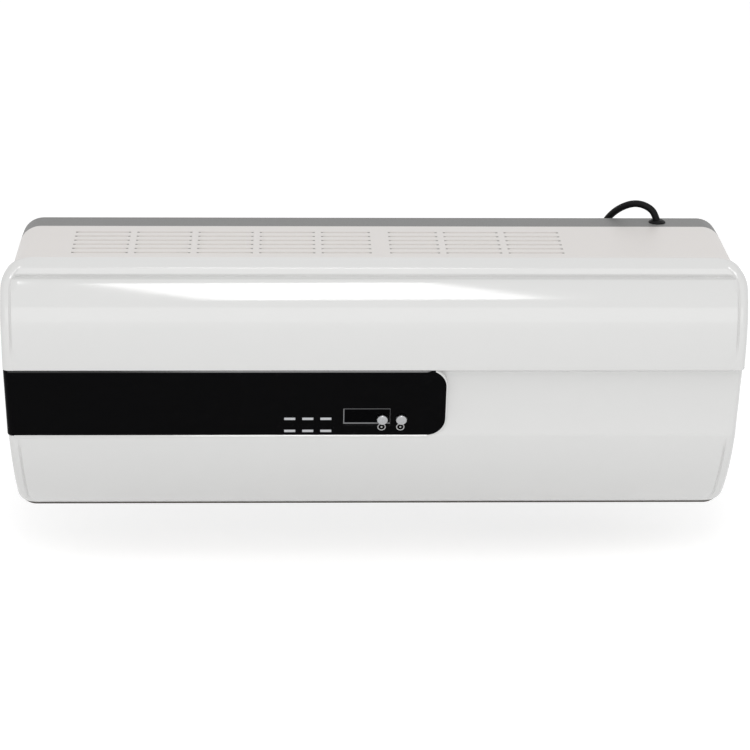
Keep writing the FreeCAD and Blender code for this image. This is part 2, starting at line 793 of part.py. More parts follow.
def fascia_pieces():
    """The window, lights, buttons and board, drawn on the fascia's plane with the room on the -Y side."""
    window = slab(
        "window",
        ("window_left", "window_left + window_width"),
        ("-fascia_wall", "0"),
        ("-window_top - window_drop", "-window_top"),
    )
    eye_place = ("button_x", "-button_row")
    eye = rod("window_eye", "depth", "button_radius + button_gap", "-fascia_wall - past", "past", eye_place)
    fascia_node("display_window", cut("window", window, eye))
    lights = [
        slab("light", (left, right), ("-fascia_wall - light_drop", "0"), (bottom, top))
        for left, right, bottom, top in light_places()
    ]
    fascia_node("indicator_lights", group("lights", *lights))
    flange_front = "(fascia_wall + button_gap)"
    flange_back = f"({flange_front} + flange_thick)"
    stem_end = "(board_stand - switch_tall - plunger_tall - button_travel - button_gap)"
    for label, across in (("power_button", "button_x"), ("timer_button", "timer_x")):
        body = turned(label + "_cap", [
            ("0", f"-{stem_end}"),
            ("stem_radius", f"-{stem_end}"),
            ("stem_radius", f"-{flange_back}"),
            ("flange_radius", f"-{flange_back}"),
            ("flange_radius", f"-{flange_front}"),
            ("button_radius", f"-{flange_front}"),
            ("button_radius", "button_proud / 2"),
            ("button_radius - button_proud / 2", "button_proud", "button_proud / 2"),
            ("0", "button_proud"),
        ])
        stood = group(label, body)
        body.Placement.Rotation = FreeCAD.Rotation(V(1, 0, 0), 90)
        fascia_node(label, stood, "button_row", across)
    board_low = "-board_top - board_drop"
    board = slab(
        "board",
        ("board_left", "board_right"),
        ("-board_stand - board_thick", "-board_stand"),
        (board_low, "-board_top"),
    )
    fascia_node("control_board", group("board", board))
    module = slab(
        "module",
        ("window_left + module_gap", "window_left + module_gap + module_width"),
        ("-board_stand", "-fascia_wall - module_gap"),
        ("-window_top - window_drop + module_gap", "-window_top - module_gap"),
    )
    fascia_node("display_module", group("module", module))
    switches = []
    for across in ("button_x", "timer_x"):
        base = slab(
            "switch",
            (f"{across} - switch_side / 2", f"{across} + switch_side / 2"),
            ("-board_stand", "-board_stand + switch_tall"),
            ("-button_row - switch_side / 2", "-button_row + switch_side / 2"),
        )
        top = "-board_stand + switch_tall"
        middle = (across, "-button_row")
        plunger = rod("plunger", "depth", "plunger_radius", top, f"{top} + plunger_tall", middle)
        switches.append(joined("switch", base, plunger))
    fascia_node("push_switches", group("switches", *switches))
    receiver = slab(
        "receiver",
        ("receiver_x - receiver_width / 2", "receiver_x + receiver_width / 2"),
        ("-board_stand", "-board_stand + receiver_width"),
        ("-window_top - receiver_width", "-window_top"),
    )
    fascia_node("remote_receiver", group("receiver", receiver))


# Air duct: two end plates, the scroll behind the fan and the tongue in front of it
def duct_plate(label, start, stop, holes):
    body = new_body(label)
    plan = outline(sketch(body, "YZ_Plane", start), [
        ("-wall", "duct_top"),
        ("-duct_front", "duct_top"),
        ("-duct_front", "duct_knee"),
        ("-outlet_front - guide_wall", "wall"),
        ("-wall", "wall"),
    ])
    for depth, up, radius in holes:
        circle(plan, f"-{depth}", up, radius)
    grow(body, plan, f"({stop}) - ({start})")
    node(label, body)


def air_duct():
    pin = ("outlet_middle", "louver_height", "bush_radius")
    bearing = ("fan_depth", "fan_height", "bearing_radius")
    duct_plate("duct_end_left", "duct_outer_left", "duct_left", [bearing, pin])
    motor_hole = ("fan_depth", "fan_height", "bearing_flange")
    duct_plate("duct_end_right", "duct_right", "duct_outer_right", [motor_hole, pin])
    length = "duct_right - duct_left"
    near = "(fan_radius + fan_gap)"
    far = f"({near} + guide_wall)"
    scroll = new_body("scroll_guide")
    grow(scroll, outline(sketch(scroll, "YZ_Plane", "duct_left"), [
        (f"-fan_depth + {near} * cos(scroll_start)", f"fan_height + {near} * sin(scroll_start)"),
        (f"-fan_depth + {near}", "fan_height", near, "hollow"),
        ("-outlet_back", "scroll_foot"),
        ("-outlet_back", "wall"),
        ("guide_wall - outlet_back", "wall"),
        ("guide_wall - outlet_back", "scroll_foot"),
        (f"-fan_depth + {far}", "fan_height"),
        (f"-fan_depth + {far} * cos(scroll_start)", f"fan_height + {far} * sin(scroll_start)", far),
    ]), length)
    node("scroll_guide", scroll)
    tongue = new_body("tongue_guide")
    tip_depth = f"(fan_depth + {near} * cos(tongue_angle))"
    tip_height = f"(fan_height - {near} * sin(tongue_angle))"
    grow(tongue, outline(sketch(tongue, "YZ_Plane", "duct_left"), [
        ("-outlet_front", "wall"),
        ("-outlet_front", "tongue_knee"),
        (f"-{tip_depth}", tip_height),
        (f"-{tip_depth} - tongue_hook", f"{tip_height} + tongue_hook / 2"),
        (f"-{tip_depth} - tongue_hook", f"{tip_height} + tongue_hook / 2 - guide_wall"),
        (f"-{tip_depth} - guide_wall", f"{tip_height} - guide_wall"),
        ("-outlet_front - guide_wall", "tongue_knee"),
        ("-outlet_front - guide_wall", "wall"),
    ]), length)
    node("tongue_guide", tongue)


# Cross-flow fan: two end discs and three rings joined by curved blades, with a hub at each end
def fan():
    rotor = new_body("fan_rotor")
    grow(rotor, circle(sketch(rotor, "YZ_Plane"), "0", "0", "fan_radius"), "disc_thick")
    blade = outline(sketch(rotor, "YZ_Plane"), [
        ("fan_radius - blade_thick", "blade_thick / 2"),
        ("fan_root", "blade_thick / 2 - blade_sweep", "blade_round"),
        ("fan_root", "-blade_thick / 2 - blade_sweep"),
        ("fan_radius - blade_thick", "-blade_thick / 2", "blade_round", "hollow"),
    ])
    first_blade = grow(rotor, blade, "fan_length")
    blades = rotor.newObject("PartDesign::PolarPattern", "fan_blades")
    blades.Originals = [first_blade]
    blades.Axis = (origin(rotor, "X_Axis"), [""])
    bind(blades, "Occurrences", "blade_count")
    rotor.Tip = blades
    spacing = "((fan_length - disc_thick) / fan_sections)"
    ring = sketch(rotor, "YZ_Plane", spacing)
    circle(ring, "0", "0", "fan_radius")
    circle(ring, "0", "0", "ring_radius")
    in_row(rotor, grow(rotor, ring, "disc_thick"), "X_Axis", spacing, "fan_sections - 1")
    far_disc = sketch(rotor, "YZ_Plane", "fan_length - disc_thick")
    grow(rotor, circle(far_disc, "0", "0", "fan_radius"), "disc_thick")
    for offset in ("0", "fan_length - hub_length"):
        grow(rotor, circle(sketch(rotor, "YZ_Plane", offset), "0", "0", "hub_radius"), "hub_length")
        bore = circle(sketch(rotor, "YZ_Plane", offset), "0", "0", "shaft_radius")
        sink(rotor, bore, "hub_length", back=True)
    node("fan_rotor", rotor, "fan_left", "fan_depth", "fan_height")
    middle = ("fan_depth", "fan_height")
    axle_left = "duct_outer_left - bearing_flange_thick"
    axle = rod("axle", "x", "shaft_radius", axle_left, "fan_left + hub_length", middle)
    node("fan_axle", group("fan_axle", axle))
    seat = rod("bearing", "x", "bearing_radius", "duct_outer_left", "duct_left", middle)
    flange = rod("bearing_flange", "x", "bearing_flange", axle_left, "duct_outer_left", middle)
    bore_left = f"{axle_left} - past"
    bore = rod("bearing_bore", "x", "shaft_radius + running_gap", bore_left, "duct_left + past", middle)
    node("fan_bearing", cut("fan_bearing", joined("fan_bearing", seat, flange), bore))
    shaft_left = "fan_left + fan_length - hub_length"
    shaft = rod("shaft", "x", "shaft_radius", shaft_left, "motor_left + shaft_tail", middle)
    node("motor_shaft", group("motor_shaft", shaft))
    can = rod("motor_can", "x", "motor_radius", "motor_left", "motor_left + motor_length", middle)
    cap_left = "motor_left + motor_length"
    cap = rod("motor_cap", "x", "motor_cap_radius", cap_left, f"{cap_left} + motor_cap", middle)
    hole_stop = "motor_left + shaft_tail + past"
    hole = rod("motor_bore", "x", "shaft_radius + running_gap", "motor_left - past", hole_stop, middle)
    node("fan_motor", cut("fan_motor", joined("fan_motor", can, cap), hole))
    ring = rod("bracket", "x", "bracket_radius", "duct_outer_right", "motor_left", middle)
    eye = rod("bracket_eye", "x", "bracket_bore", "duct_outer_right - past", "motor_left + past", middle)
    node("motor_bracket", cut("motor_bracket", ring, eye))


# Heating element: two aluminium bars that hold the ceramic heaters, fins across them and a frame
def heating():
    element = new_body("heating_element")
    low, high = "element_bottom", "element_bottom + element_tall"
    back = "(outlet_back + frame_wall)"
    front = "(outlet_front - frame_wall)"
    fin_left = "(element_left + fin_pitch / 2)"
    fin = outline(sketch(element, "YZ_Plane", fin_left), rectangle(f"-{front}", f"-{back}", low, high))
    plate = grow(element, fin, "fin_thick")
    bars = sketch(element, "YZ_Plane", "element_left")
    for side in "-+":
        middle = f"-outlet_middle {side} bar_spread / 2"
        outline(bars, rectangle(f"{middle} - bar_thick / 2", f"{middle} + bar_thick / 2", low, high))
    grow(element, bars, "element_right - element_left")
    in_row(element, plate, "X_Axis", "fin_pitch", "floor((element_right - element_left) / fin_pitch)")
    node("heating_element", element)
    block = slab(
        "frame",
        ("duct_left", "duct_right"),
        ("outlet_back", "outlet_front"),
        (f"{low} - frame_lip", f"{high} + frame_lip"),
    )
    window = slab(
        "frame_window",
        ("element_left", "element_right"),
        (back, front),
        (f"{low} - frame_lip - past", f"{high} + frame_lip + past"),
    )
    node("element_frame", cut("element_frame", block, window))
    place = ("outlet_middle", "cutout_height")
    disc = rod("cutout", "x", "cutout_radius", "duct_outer_right", "duct_outer_right + cutout_tall", place)
    stub_stop = "duct_outer_right + 2 * cutout_tall"
    stub = rod("cutout_stub", "x", "cutout_radius / 2", "duct_outer_right + cutout_tall", stub_stop, place)
    node("thermal_cutout", joined("thermal_cutout", disc, stub))
    guard = new_body("outlet_guard")
    plan = rectangle("duct_left", "duct_right", "-outlet_front", "-outlet_back")
    grow(guard, outline(sketch(guard, "XY_Plane", "guard_bottom"), plan), "guard_thick")
    slot_left = "(duct_left + guard_margin)"
    slot = rectangle(
        slot_left,
        f"{slot_left} + guard_slot",
        "-outlet_front + guard_margin",
        "-outlet_back - guard_margin",
    )
    gap = sink(guard, outline(sketch(guard, "XY_Plane", "guard_bottom + guard_thick"), slot), "guard_thick")
    gap_count = "floor((duct_right - duct_left - guard_margin) / guard_pitch)"
    in_row(guard, gap, "X_Axis", "guard_pitch", gap_count)
    node("outlet_guard", guard)


# Swinging louver: a shaped blade on two ears that closes the outlet, turned by a motor at its right end
def louver():
    left, right = "(duct_left + louver_end_gap)", "(duct_right - louver_end_gap)"
    body = new_body("swing_louver")
    under, top = "-louver_under", "-louver_top"
    grow(body, outline(sketch(body, "YZ_Plane", left), [
        ("louver_half - louver_bevel", under),
        ("louver_half", f"{top} - (louver_under - louver_top) / 3"),
        ("louver_half", top),
        ("-louver_half", top),
        ("-louver_half", f"{top} - (louver_under - louver_top) / 3"),
        ("-louver_half + louver_bevel", under),
    ]), f"{right} - {left}")
    ear_radius = "louver_ear_radius"
    for start in (left, f"{right} - louver_ear"):
        ear = outline(sketch(body, "YZ_Plane", start), [
            (ear_radius, top),
            (ear_radius, "0"),
            ("0", ear_radius, ear_radius),
            (f"-{ear_radius}", "0", ear_radius),
            (f"-{ear_radius}", top),
        ])
        grow(body, ear, "louver_ear")
    pin_length = "(louver_end_gap + duct_wall + bush_flange_thick)"
    pin = circle(sketch(body, "YZ_Plane", f"{left} - {pin_length}"), "0", "0", "pin_radius")
    grow(body, pin, f"{pin_length} + louver_ear")
    socket = circle(sketch(body, "YZ_Plane", f"{right} - louver_ear"), "0", "0", "pin_radius")
    sink(body, socket, "louver_ear", back=True)
    node("swing_louver", body, "0", "outlet_middle", "louver_height")
    axis = ("outlet_middle", "louver_height")
    shaft_left = f"{right} - louver_ear"
    shaft = rod("drive_shaft", "x", "pin_radius", shaft_left, "duct_outer_right + drive_shaft", axis)
    node("louver_shaft", group("louver_shaft", shaft))
    seat = rod("bush", "x", "bush_radius", "duct_outer_left", "duct_left", axis)
    flange_left = "duct_outer_left - bush_flange_thick"
    flange = rod("bush_flange", "x", "bush_flange", flange_left, "duct_outer_left", axis)
    bore_left = f"{flange_left} - past"
    bore = rod("bush_bore", "x", "pin_radius + running_gap", bore_left, "duct_left + past", axis)
    node("louver_bush", cut("louver_bush", joined("louver_bush", seat, flange), bore))
    drive_stop = "duct_outer_right + drive_length"
    raised = ("outlet_middle", "louver_height + drive_offset")
    can = rod("drive_can", "x", "drive_radius", "duct_outer_right", drive_stop, raised)
    hole_stop = "duct_outer_right + drive_shaft + past"
    hole = rod("drive_bore", "x", "pin_radius + running_gap", "duct_outer_right - past", hole_stop, axis)
    node("louver_motor", cut("louver_motor", can, hole))


# Power board on the rear cover's posts, the terminals and the inner end of the supply cord
def electrics():
    thick, tall = ("power_back", "power_front"), ("power_bottom", "power_top")
    board = slab("power", ("power_left", "power_right"), thick, tall)
    node("power_board", group("power_board", board))
    relays = []
    for place in range(2):
        left = f"relay_left + {place} * relay_pitch"
        deep = ("power_front", "power_front + relay_depth")
        up = ("relay_bottom", "relay_bottom + relay_tall")
        relays.append(slab("relay", (left, f"{left} + relay_width"), deep, up))
    node("relays", group("relays", *relays))
    can = rod("can", "depth", "can_radius", "power_front", "power_front + can_tall", ("can_x", "can_height"))
    node("capacitor", group("capacitor", can))
    terminal = slab(
        "terminal",
        ("gland_x - terminal_width / 2", "gland_x + terminal_width / 2"),
        ("wall", "wall + terminal_depth"),
        ("terminal_bottom", "terminal_top"),
    )
    node("terminal_block", group("terminal_block", terminal))
    lead = rod("lead", "z", "cord_radius", "terminal_top", "gland_bottom", ("gland_x", "gland_depth"))
    node("inner_cord", group("inner_cord", lead))
    clamp_top = "clamp_bottom + clamp_tall"
    saddle = slab(
        "saddle",
        ("gland_x - clamp_width / 2", "gland_x + clamp_width / 2"),
        ("wall", "wall + clamp_depth"),
        ("clamp_bottom", clamp_top),
    )
    groove = rod(
        "saddle_bore", "z", "cord_radius + running_gap", "clamp_bottom - past", f"{clamp_top} + past",
        ("gland_x", "gland_depth"),
    )
    node("cord_clamp", cut("cord_clamp", saddle, groove))
    gland = turned("cord_gland", [
        ("0", "gland_bottom"),
        ("gland_tip", "gland_bottom"),
        ("gland_neck", "height - wall"),
        ("gland_neck", "height"),
        ("gland_flare", "height"),
        ("gland_flare", "height + gland_proud / 3"),
        ("gland_tip", "gland_top"),
        ("0", "gland_top"),
    ])
    node("cord_gland", gland, "gland_x", "gland_depth")
    screws = []
    for across, up in SCREW_PLACES:
        place = (across, up)
        head = rod("head", "depth", "screw_head", "screw_seat - screw_head_thick", "screw_seat", place)
        shank = rod("shank", "depth", "screw_radius", "screw_seat", "rear_depth + screw_bite", place)
        screws.append(joined("screw", head, shank))
    node("cover_screws", group("cover_screws", *screws))


# Supply cord: it rises from the gland, arches over the rear edge and drops behind the heater,
# where the rest of it is wound in a flat coil of two layers and tied, with the plug hanging below.
# The lead's points are counted from the mouth of the gland, and the plug's from the end of the coil.
LEAD_ROUTE = [
    (0, 0, 1.8),
    (-1.4, 1.2, 6.8),
    (-5.2, 3.6, 10.4),
    (-11.6, 7, 11.9),
    (-19, 10.8, 10.9),
    (-27, 15, 7.6),
    (-34.5, 18.9, 2.2),
    (-40.8, 22.2, -4.8),
    (-44.8, 24.4, -13.5),
    (-46.4, 25.5, -27),
    (-46.6, 25.6, -60),
]
PLUG_ROUTE = [
    (0.1, 0.5, -12),
    (-0.2, 1.7, -24.5),
    (0, 1.9, -36),
]
ARC_SHARE = 0.45
HALF_TURNS_IN = 4
HALF_TURNS_OUT = 5
LEAST_SELF_GAP = 0.4


def tube(name, wire):
    """A round cord along a wire, with its volume compared with its section times its length."""
    start = wire.Edges[0]
    first = start.FirstParameter
    section = Part.Circle(start.valueAt(first), start.tangentAt(first), dims.cord_radius)
    solid = wire.makePipeShell([Part.Wire([section.toShape()])], True, False)
    ratio = solid.Volume / (math.pi * dims.cord_radius**2 * wire.Length)
    print(f"{name}: {wire.Length:.1f} mm long, volume ratio {ratio:.4f}")
    if abs(ratio - 1) > 0.01:
        raise ValueError(f"{name} isn't a clean tube")
    return solid


def routed(name, points):
    """Straight runs joined by tangent arcs, each as large as its two runs allow."""
    edges = []
    radii = []
    start = points[0]
    for before, corner, after in zip(points, points[1:], points[2:]):
        come, go = (corner - before), (after - corner)
        trim = ARC_SHARE * min(come.Length, go.Length)
        turn = come.getAngle(go)
        radii.append(trim / math.tan(turn / 2))
        come.normalize()
        go.normalize()
        enter, leave = corner - come * trim, corner + go * trim
        bow = (go - come).normalize()
        middle = corner + bow * bulge(trim, turn)
        edges.append(Part.LineSegment(start, enter).toShape())
        edges.append(Part.Arc(enter, middle, leave).toShape())
        start = leave
    edges.append(Part.LineSegment(start, points[-1]).toShape())
    print(f"{name} radii:", ", ".join(f"{radius:.0f}" for radius in radii))
    return tube(name, Part.Wire(edges))


def bulge(trim, turn):
    """How far the middle of an arc lies from the corner that it rounds."""
    radius = trim / math.tan(turn / 2)
    return radius / math.cos(turn / 2) - radius


def coil_wire():
    """Half circles that spiral in behind the casing, climb a layer in one half turn and spiral out again."""
    pitch = dims.coil_pitch
    centre = V(number("coil_x"), dims.coil_behind, number("coil_height"))
    radii = [dims.coil_outer - place * pitch / 2 for place in range(HALF_TURNS_IN + 1)]
    radii += [radii[-1] + place * pitch / 2 for place in range(1, HALF_TURNS_OUT + 1)]
    here = centre + V(dims.coil_outer, 0, 0)
    straight = V(0, 0, 2 * dims.cord_radius)
    edges = [Part.LineSegment(here + straight, here).toShape()]
    side = -1
    for place, radius in enumerate(radii):
        climb = pitch if place == HALF_TURNS_IN else 0
        there = here + V(2 * radius * side, climb, 0)
        reach = V(0, 0, side) * ((there - here).Length / 2)
        middle = (here + there) * 0.5 + reach
        edges.append(quarter(here, V(0, 0, side), middle))
        edges.append(quarter(there, V(0, 0, side), middle, True))
        here = there
        side = -side
    edges.append(Part.LineSegment(here, here - straight).toShape())
    return Part.Wire(edges)


def quarter(start, heading, stop, backwards=False):
    """The arc that leaves start along heading and ends at stop, or the same one run from stop to start."""
    chord = stop - start
    half = chord.getAngle(heading)
    across = (chord - heading * chord.dot(heading)).normalize()
    radius = chord.Length / (2 * math.sin(half))
    middle = start + heading * (radius * math.sin(half)) + across * (radius * (1 - math.cos(half)))
    arc = Part.Arc(stop, middle, start) if backwards else Part.Arc(start, middle, stop)
    return arc.toShape()


def self_gap(wire, count=900):
    """The least clear distance between parts of the cord that lie over a quarter turn apart along it."""
    points = wire.discretize(Number=count)
    step = wire.Length / (count - 1)
    skip = int(math.pi * dims.coil_outer / 2 / step)
    least = min(
        (points[first] - points[second]).Length
        for first in range(count)
        for second in range(first + skip, count)
    )
    return least - 2 * dims.cord_radius


def supply_cord():
    turns = coil_wire()
    coil_start, coil_end = (turns.OrderedVertexes[place].Point for place in (0, -1))
    mouth = V(number("gland_x"), -dims.gland_depth, number("gland_top"))
    lead = [mouth + V(*place) for place in LEAD_ROUTE] + [coil_start]
    free_node("supply_lead", routed("supply_lead", lead))
    gap = self_gap(turns)
    print(f"cord_coil: least gap to itself {gap:.2f} mm")
    if gap < LEAST_SELF_GAP:
        raise ValueError("the coil's turns touch")
    free_node("cord_coil", tube("cord_coil", turns))
    plug_run = [coil_end] + [coil_end + V(*place) for place in PLUG_ROUTE]
    free_node("plug_lead", routed("plug_lead", plug_run))
    low = "coil_height + coil_outer - 2 * coil_pitch - cord_radius - tie_gap"
    high = "coil_height + coil_outer + coil_pitch / 2 + cord_radius + tie_gap"
    near = "coil_behind - cord_radius - tie_gap"
    far = "coil_behind + coil_pitch + cord_radius + tie_gap"
    tie = new_body("cord_tie")
    grow(tie, outline(sketch(tie, "YZ_Plane", "coil_x"), rectangle(
        f"{near} - tie_thick", f"{far} + tie_thick", f"{low} - tie_thick", f"{high} + tie_thick"
    )), "tie_width", "Symmetric")
    hole = outline(sketch(tie, "YZ_Plane", "coil_x"), rectangle(near, far, low, high))
    sink(tie, hole, "tie_width", "Symmetric")
    node("cord_tie", tie)
    end = plug_run[-1]
    plug = turned("mains_plug", [
        ("0", "-plug_taper - plug_grip - plug_face"),
        ("plug_radius", "-plug_taper - plug_grip - plug_face"),
        ("plug_radius", "-plug_taper - plug_grip"),
        ("plug_grip", "-plug_taper"),
        ("plug_collar", "0"),
        ("0", "0"),
    ])
    node("mains_plug", plug, str(end.x), str(-end.y), str(end.z))
    face = f"{end.z} - plug_taper - plug_grip - plug_face"
    pins = [
        rod("plug_pin", "z", "plug_pin_radius", f"{face} - plug_pin_length", face,
            (f"{end.x} {side} plug_pin_pitch / 2", str(-end.y)))
        for side in "-+"
    ]
    node("plug_pins", group("plug_pins", *pins))


rear_cover()
main_casing()
control_fascia(front_panel())
fascia_pieces()
air_duct()
fan()
heating()
louver()
electrics()
supply_cord()
doc.recompute()

for thing in doc.Objects:
    if "Invalid" in thing.State or "Error" in thing.State:
        raise ValueError(f"{thing.Label} failed: {thing.State}")
for piece in nodes:
    if piece.Shape.isNull() or not piece.Shape.isValid():
        raise ValueError(f"{piece.Label} has no valid shape")
os.makedirs("parts", exist_ok=True)
for piece in nodes:
    piece.Shape.exportStep(f"parts/{piece.Label}.step")
print(len(nodes), "nodes")
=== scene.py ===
import math

import bpy
from mathutils import Matrix, Vector


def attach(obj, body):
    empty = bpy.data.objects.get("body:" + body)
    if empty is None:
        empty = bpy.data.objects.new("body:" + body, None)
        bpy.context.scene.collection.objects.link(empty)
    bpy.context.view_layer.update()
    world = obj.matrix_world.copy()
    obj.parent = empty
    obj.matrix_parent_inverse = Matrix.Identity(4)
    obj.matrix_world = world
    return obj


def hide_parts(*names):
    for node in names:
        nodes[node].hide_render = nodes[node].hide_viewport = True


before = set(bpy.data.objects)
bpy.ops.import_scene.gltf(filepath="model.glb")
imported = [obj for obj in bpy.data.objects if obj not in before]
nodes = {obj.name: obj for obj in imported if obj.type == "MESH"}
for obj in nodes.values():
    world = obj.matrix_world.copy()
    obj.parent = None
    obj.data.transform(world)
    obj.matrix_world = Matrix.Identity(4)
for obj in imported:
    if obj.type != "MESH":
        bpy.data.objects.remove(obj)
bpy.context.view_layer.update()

# Rear cover
# A shallow tray moulded in grey ABS, which hangs on two wall screws by its keyholes.
# Four screws in deep wells hold the casing to it. Its outside has a fine spark-eroded grain.
MM = 0.001
SHARP = math.radians(35)
FLAT = math.radians(0.5)
WELD = 0.002 * MM
COVER_EDGE = 0.8 * MM
# How far a finish's roughness swings with its grain, and the size of the slow mottle in its colour
ROUGH_SWING = 0.15
MOTTLE_SIZE = 40 * MM
# A Mix node's sockets for colours, which share their names with its sockets for numbers
MIX_UNDER = 6
MIX_OVER = 7
MIX_RESULT = 2


def linear(text):
    """An sRGB hex colour as the linear colour that a shader socket takes."""
    parts = [int(text[place:place + 2], 16) / 255 for place in (1, 3, 5)]
    return [part / 12.92 if part <= 0.04045 else ((part + 0.055) / 1.055) ** 2.4 for part in parts] + [1]


def add_node(tree, kind, settings=None, **links):
    """Adds a node, sets its properties and sockets, and links its sockets to other nodes' outputs."""
    made = tree.nodes.new(kind)
    for name, value in (settings or {}).items():
        if name in made.inputs:
            made.inputs[name].default_value = value
        else:
            setattr(made, name, value)
    for name, source in links.items():
        tree.links.new(source, made.inputs[name.replace("_", " ")])
    return made


def new_material(name, **sockets):
    """A material with one Principled shader, whose plain values are set on its own sockets."""
    made = bpy.data.materials.new(name)
    made.use_nodes = True
    shader = made.node_tree.nodes["Principled BSDF"]
    for socket, value in sockets.items():
        shader.inputs[socket.replace("_", " ")].default_value = value
    return made, made.node_tree, shader


def moulded(name, colour, rough, grain, depth, mottle=0.04, stretch=(1, 1, 1), **sockets):
    """A finish whose roughness, colour and surface vary a little with a grain of the given size in metres.
    A stretch below 1 draws the grain out to lines on that axis."""
    made, tree, shader = new_material(name, **sockets)
    place = add_node(tree, "ShaderNodeTexCoord").outputs["Object"]
    drawn = add_node(tree, "ShaderNodeMapping", {"Scale": stretch}, Vector=place).outputs["Vector"]
    fine = add_node(tree, "ShaderNodeTexNoise", {"Scale": 1 / grain, "Detail": 3.0}, Vector=drawn)
    slow = add_node(tree, "ShaderNodeTexNoise", {"Scale": 1 / MOTTLE_SIZE, "Detail": 2.0}, Vector=place)
    swing = {"From Min": 0.3, "From Max": 0.7}
    swing["To Min"] = rough * (1 - ROUGH_SWING)
    swing["To Max"] = rough * (1 + ROUGH_SWING)
    roughness = add_node(tree, "ShaderNodeMapRange", swing, Value=fine.outputs["Fac"])
    pale = linear(colour)
    shade = add_node(tree, "ShaderNodeMix", {"data_type": "RGBA"}, Factor=slow.outputs["Fac"])
    shade.inputs[MIX_UNDER].default_value = [part * (1 - mottle) for part in pale[:3]] + [1]
    shade.inputs[MIX_OVER].default_value = pale
    bump = add_node(tree, "ShaderNodeBump", {"Strength": 0.5, "Distance": depth}, Height=fine.outputs["Fac"])
    tree.links.new(shade.outputs[MIX_RESULT], shader.inputs["Base Color"])
    tree.links.new(roughness.outputs["Result"], shader.inputs["Roughness"])
    tree.links.new(bump.outputs["Normal"], shader.inputs["Normal"])
    return made


def lay_cells(material, size, shape, bare, full, colour):
    """Lays a second colour over a finish, in spots or lines of cells of the given size in metres.
    It is bare at the one distance in a cell and full at the other, as shares of the cell."""
    tree = material.node_tree
    shader = tree.nodes["Principled BSDF"]
    under = shader.inputs["Base Color"].links[0].from_socket
    place = add_node(tree, "ShaderNodeTexCoord").outputs["Object"]
    cells = add_node(tree, "ShaderNodeTexVoronoi", {"feature": shape, "Scale": 1 / size}, Vector=place)
    span = {"From Min": bare, "From Max": full}
    share = add_node(tree, "ShaderNodeMapRange", span, Value=cells.outputs["Distance"])
    over = add_node(tree, "ShaderNodeMix", {"data_type": "RGBA"}, Factor=share.outputs["Result"])
    over.inputs[MIX_OVER].default_value = linear(colour)
    tree.links.new(under, over.inputs[MIX_UNDER])
    tree.links.new(over.outputs[MIX_RESULT], shader.inputs["Base Color"])


def dress(thing, material):
    """Gives a piece or a node one material all over."""
    thing.data.materials.clear()
    thing.data.materials.append(material)


def take_up(thing):
    """Makes one object the only selected and active one."""
    bpy.ops.object.select_all(action="DESELECT")
    thing.select_set(True)
    bpy.context.view_layer.objects.active = thing


def apply_modifiers(thing):
    """Works a piece's modifiers into its mesh, in their order."""
    take_up(thing)
    for step in list(thing.modifiers):
        bpy.ops.object.modifier_apply(modifier=step.name)


def merged_copy(label, name):
    """A CAD node's own form as a new piece, with its loose triangles merged to plain faces."""
    piece = bpy.data.objects.new(name, nodes[label].data.copy())
    bpy.context.scene.collection.objects.link(piece)
    take_up(piece)
    bpy.ops.mesh.customdata_custom_splitnormals_clear()
    bpy.ops.object.mode_set(mode="EDIT")
    bpy.ops.mesh.select_all(action="SELECT")
    bpy.ops.mesh.remove_doubles(threshold=WELD)
    bpy.ops.mesh.dissolve_limited(angle_limit=FLAT)
    bpy.ops.object.mode_set(mode="OBJECT")
    return piece


def round_edges(piece, edge, segments):
    """Rounds every hard edge, as a mould gives it."""
    take_up(piece)
    rim = piece.modifiers.new("rim", "BEVEL")
    rim.width = edge
    rim.segments = segments
    rim.limit_method = "ANGLE"
    rim.angle_limit = SHARP
    rim.harden_normals = True
    bpy.ops.object.shade_smooth_by_angle(angle=SHARP)
    apply_modifiers(piece)


def rounded_piece(label, name, edge, material, body, segments=3):
    """A CAD node's own form with its edges rounded, in the node's place."""
    piece = merged_copy(label, name)
    round_edges(piece, edge, segments)
    dress(piece, material)
    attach(piece, body)
    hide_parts(label)
    return piece


# Grey ABS: matt, from a spark grain of 0.4 mm that is drawn at 0.8 mm, as fine as the render can show
grey_abs = moulded("abs_grey_grained", "#7f7f7e", rough=0.52, grain=0.8 * MM, depth=0.06 * MM)
rounded_piece("rear_cover", "rear_cover_shell", COVER_EDGE, grey_abs, "heater")
# Zinc-plated steel: bright, with the cloudy spangle of a plated sheet in grains of about 3 mm
zinc_steel = moulded(
    "steel_zinc_plated", "#b9babd", rough=0.32, grain=1.5 * MM, depth=0.01 * MM, mottle=0.10, Metallic=1.0,
)
lay_cells(zinc_steel, size=3 * MM, shape="F1", bare=0.15, full=0.8, colour="#9b9da2")
dress(nodes["cover_screws"], zinc_steel)

# Power board and wiring
# A phenolic board with a green solder mask on four posts of the rear cover. It carries two relays in blue
# shells and a sleeved capacitor. The cord's inner end goes through a clamp to the terminal block.

# Solder mask: glossy green lacquer, paler where it covers the copper tracks, about 0.5 mm wide
solder_mask = moulded(
    "solder_mask_green", "#1d5f39", rough=0.35, grain=3 * MM, depth=0.05 * MM, mottle=0.35,
)
lay_cells(solder_mask, size=6 * MM, shape="DISTANCE_TO_EDGE", bare=0.06, full=0.035, colour="#478f5f")
# Blue PBT: the smooth, half glossy shells of relays
relay_pbt = moulded("pbt_relay_blue", "#1f4a8c", rough=0.4, grain=1 * MM, depth=0.02 * MM)
# Black nylon: half matt, with a faint texture from the mould
dark_nylon = moulded("nylon_black", "#1d1d1f", rough=0.45, grain=0.8 * MM, depth=0.03 * MM)
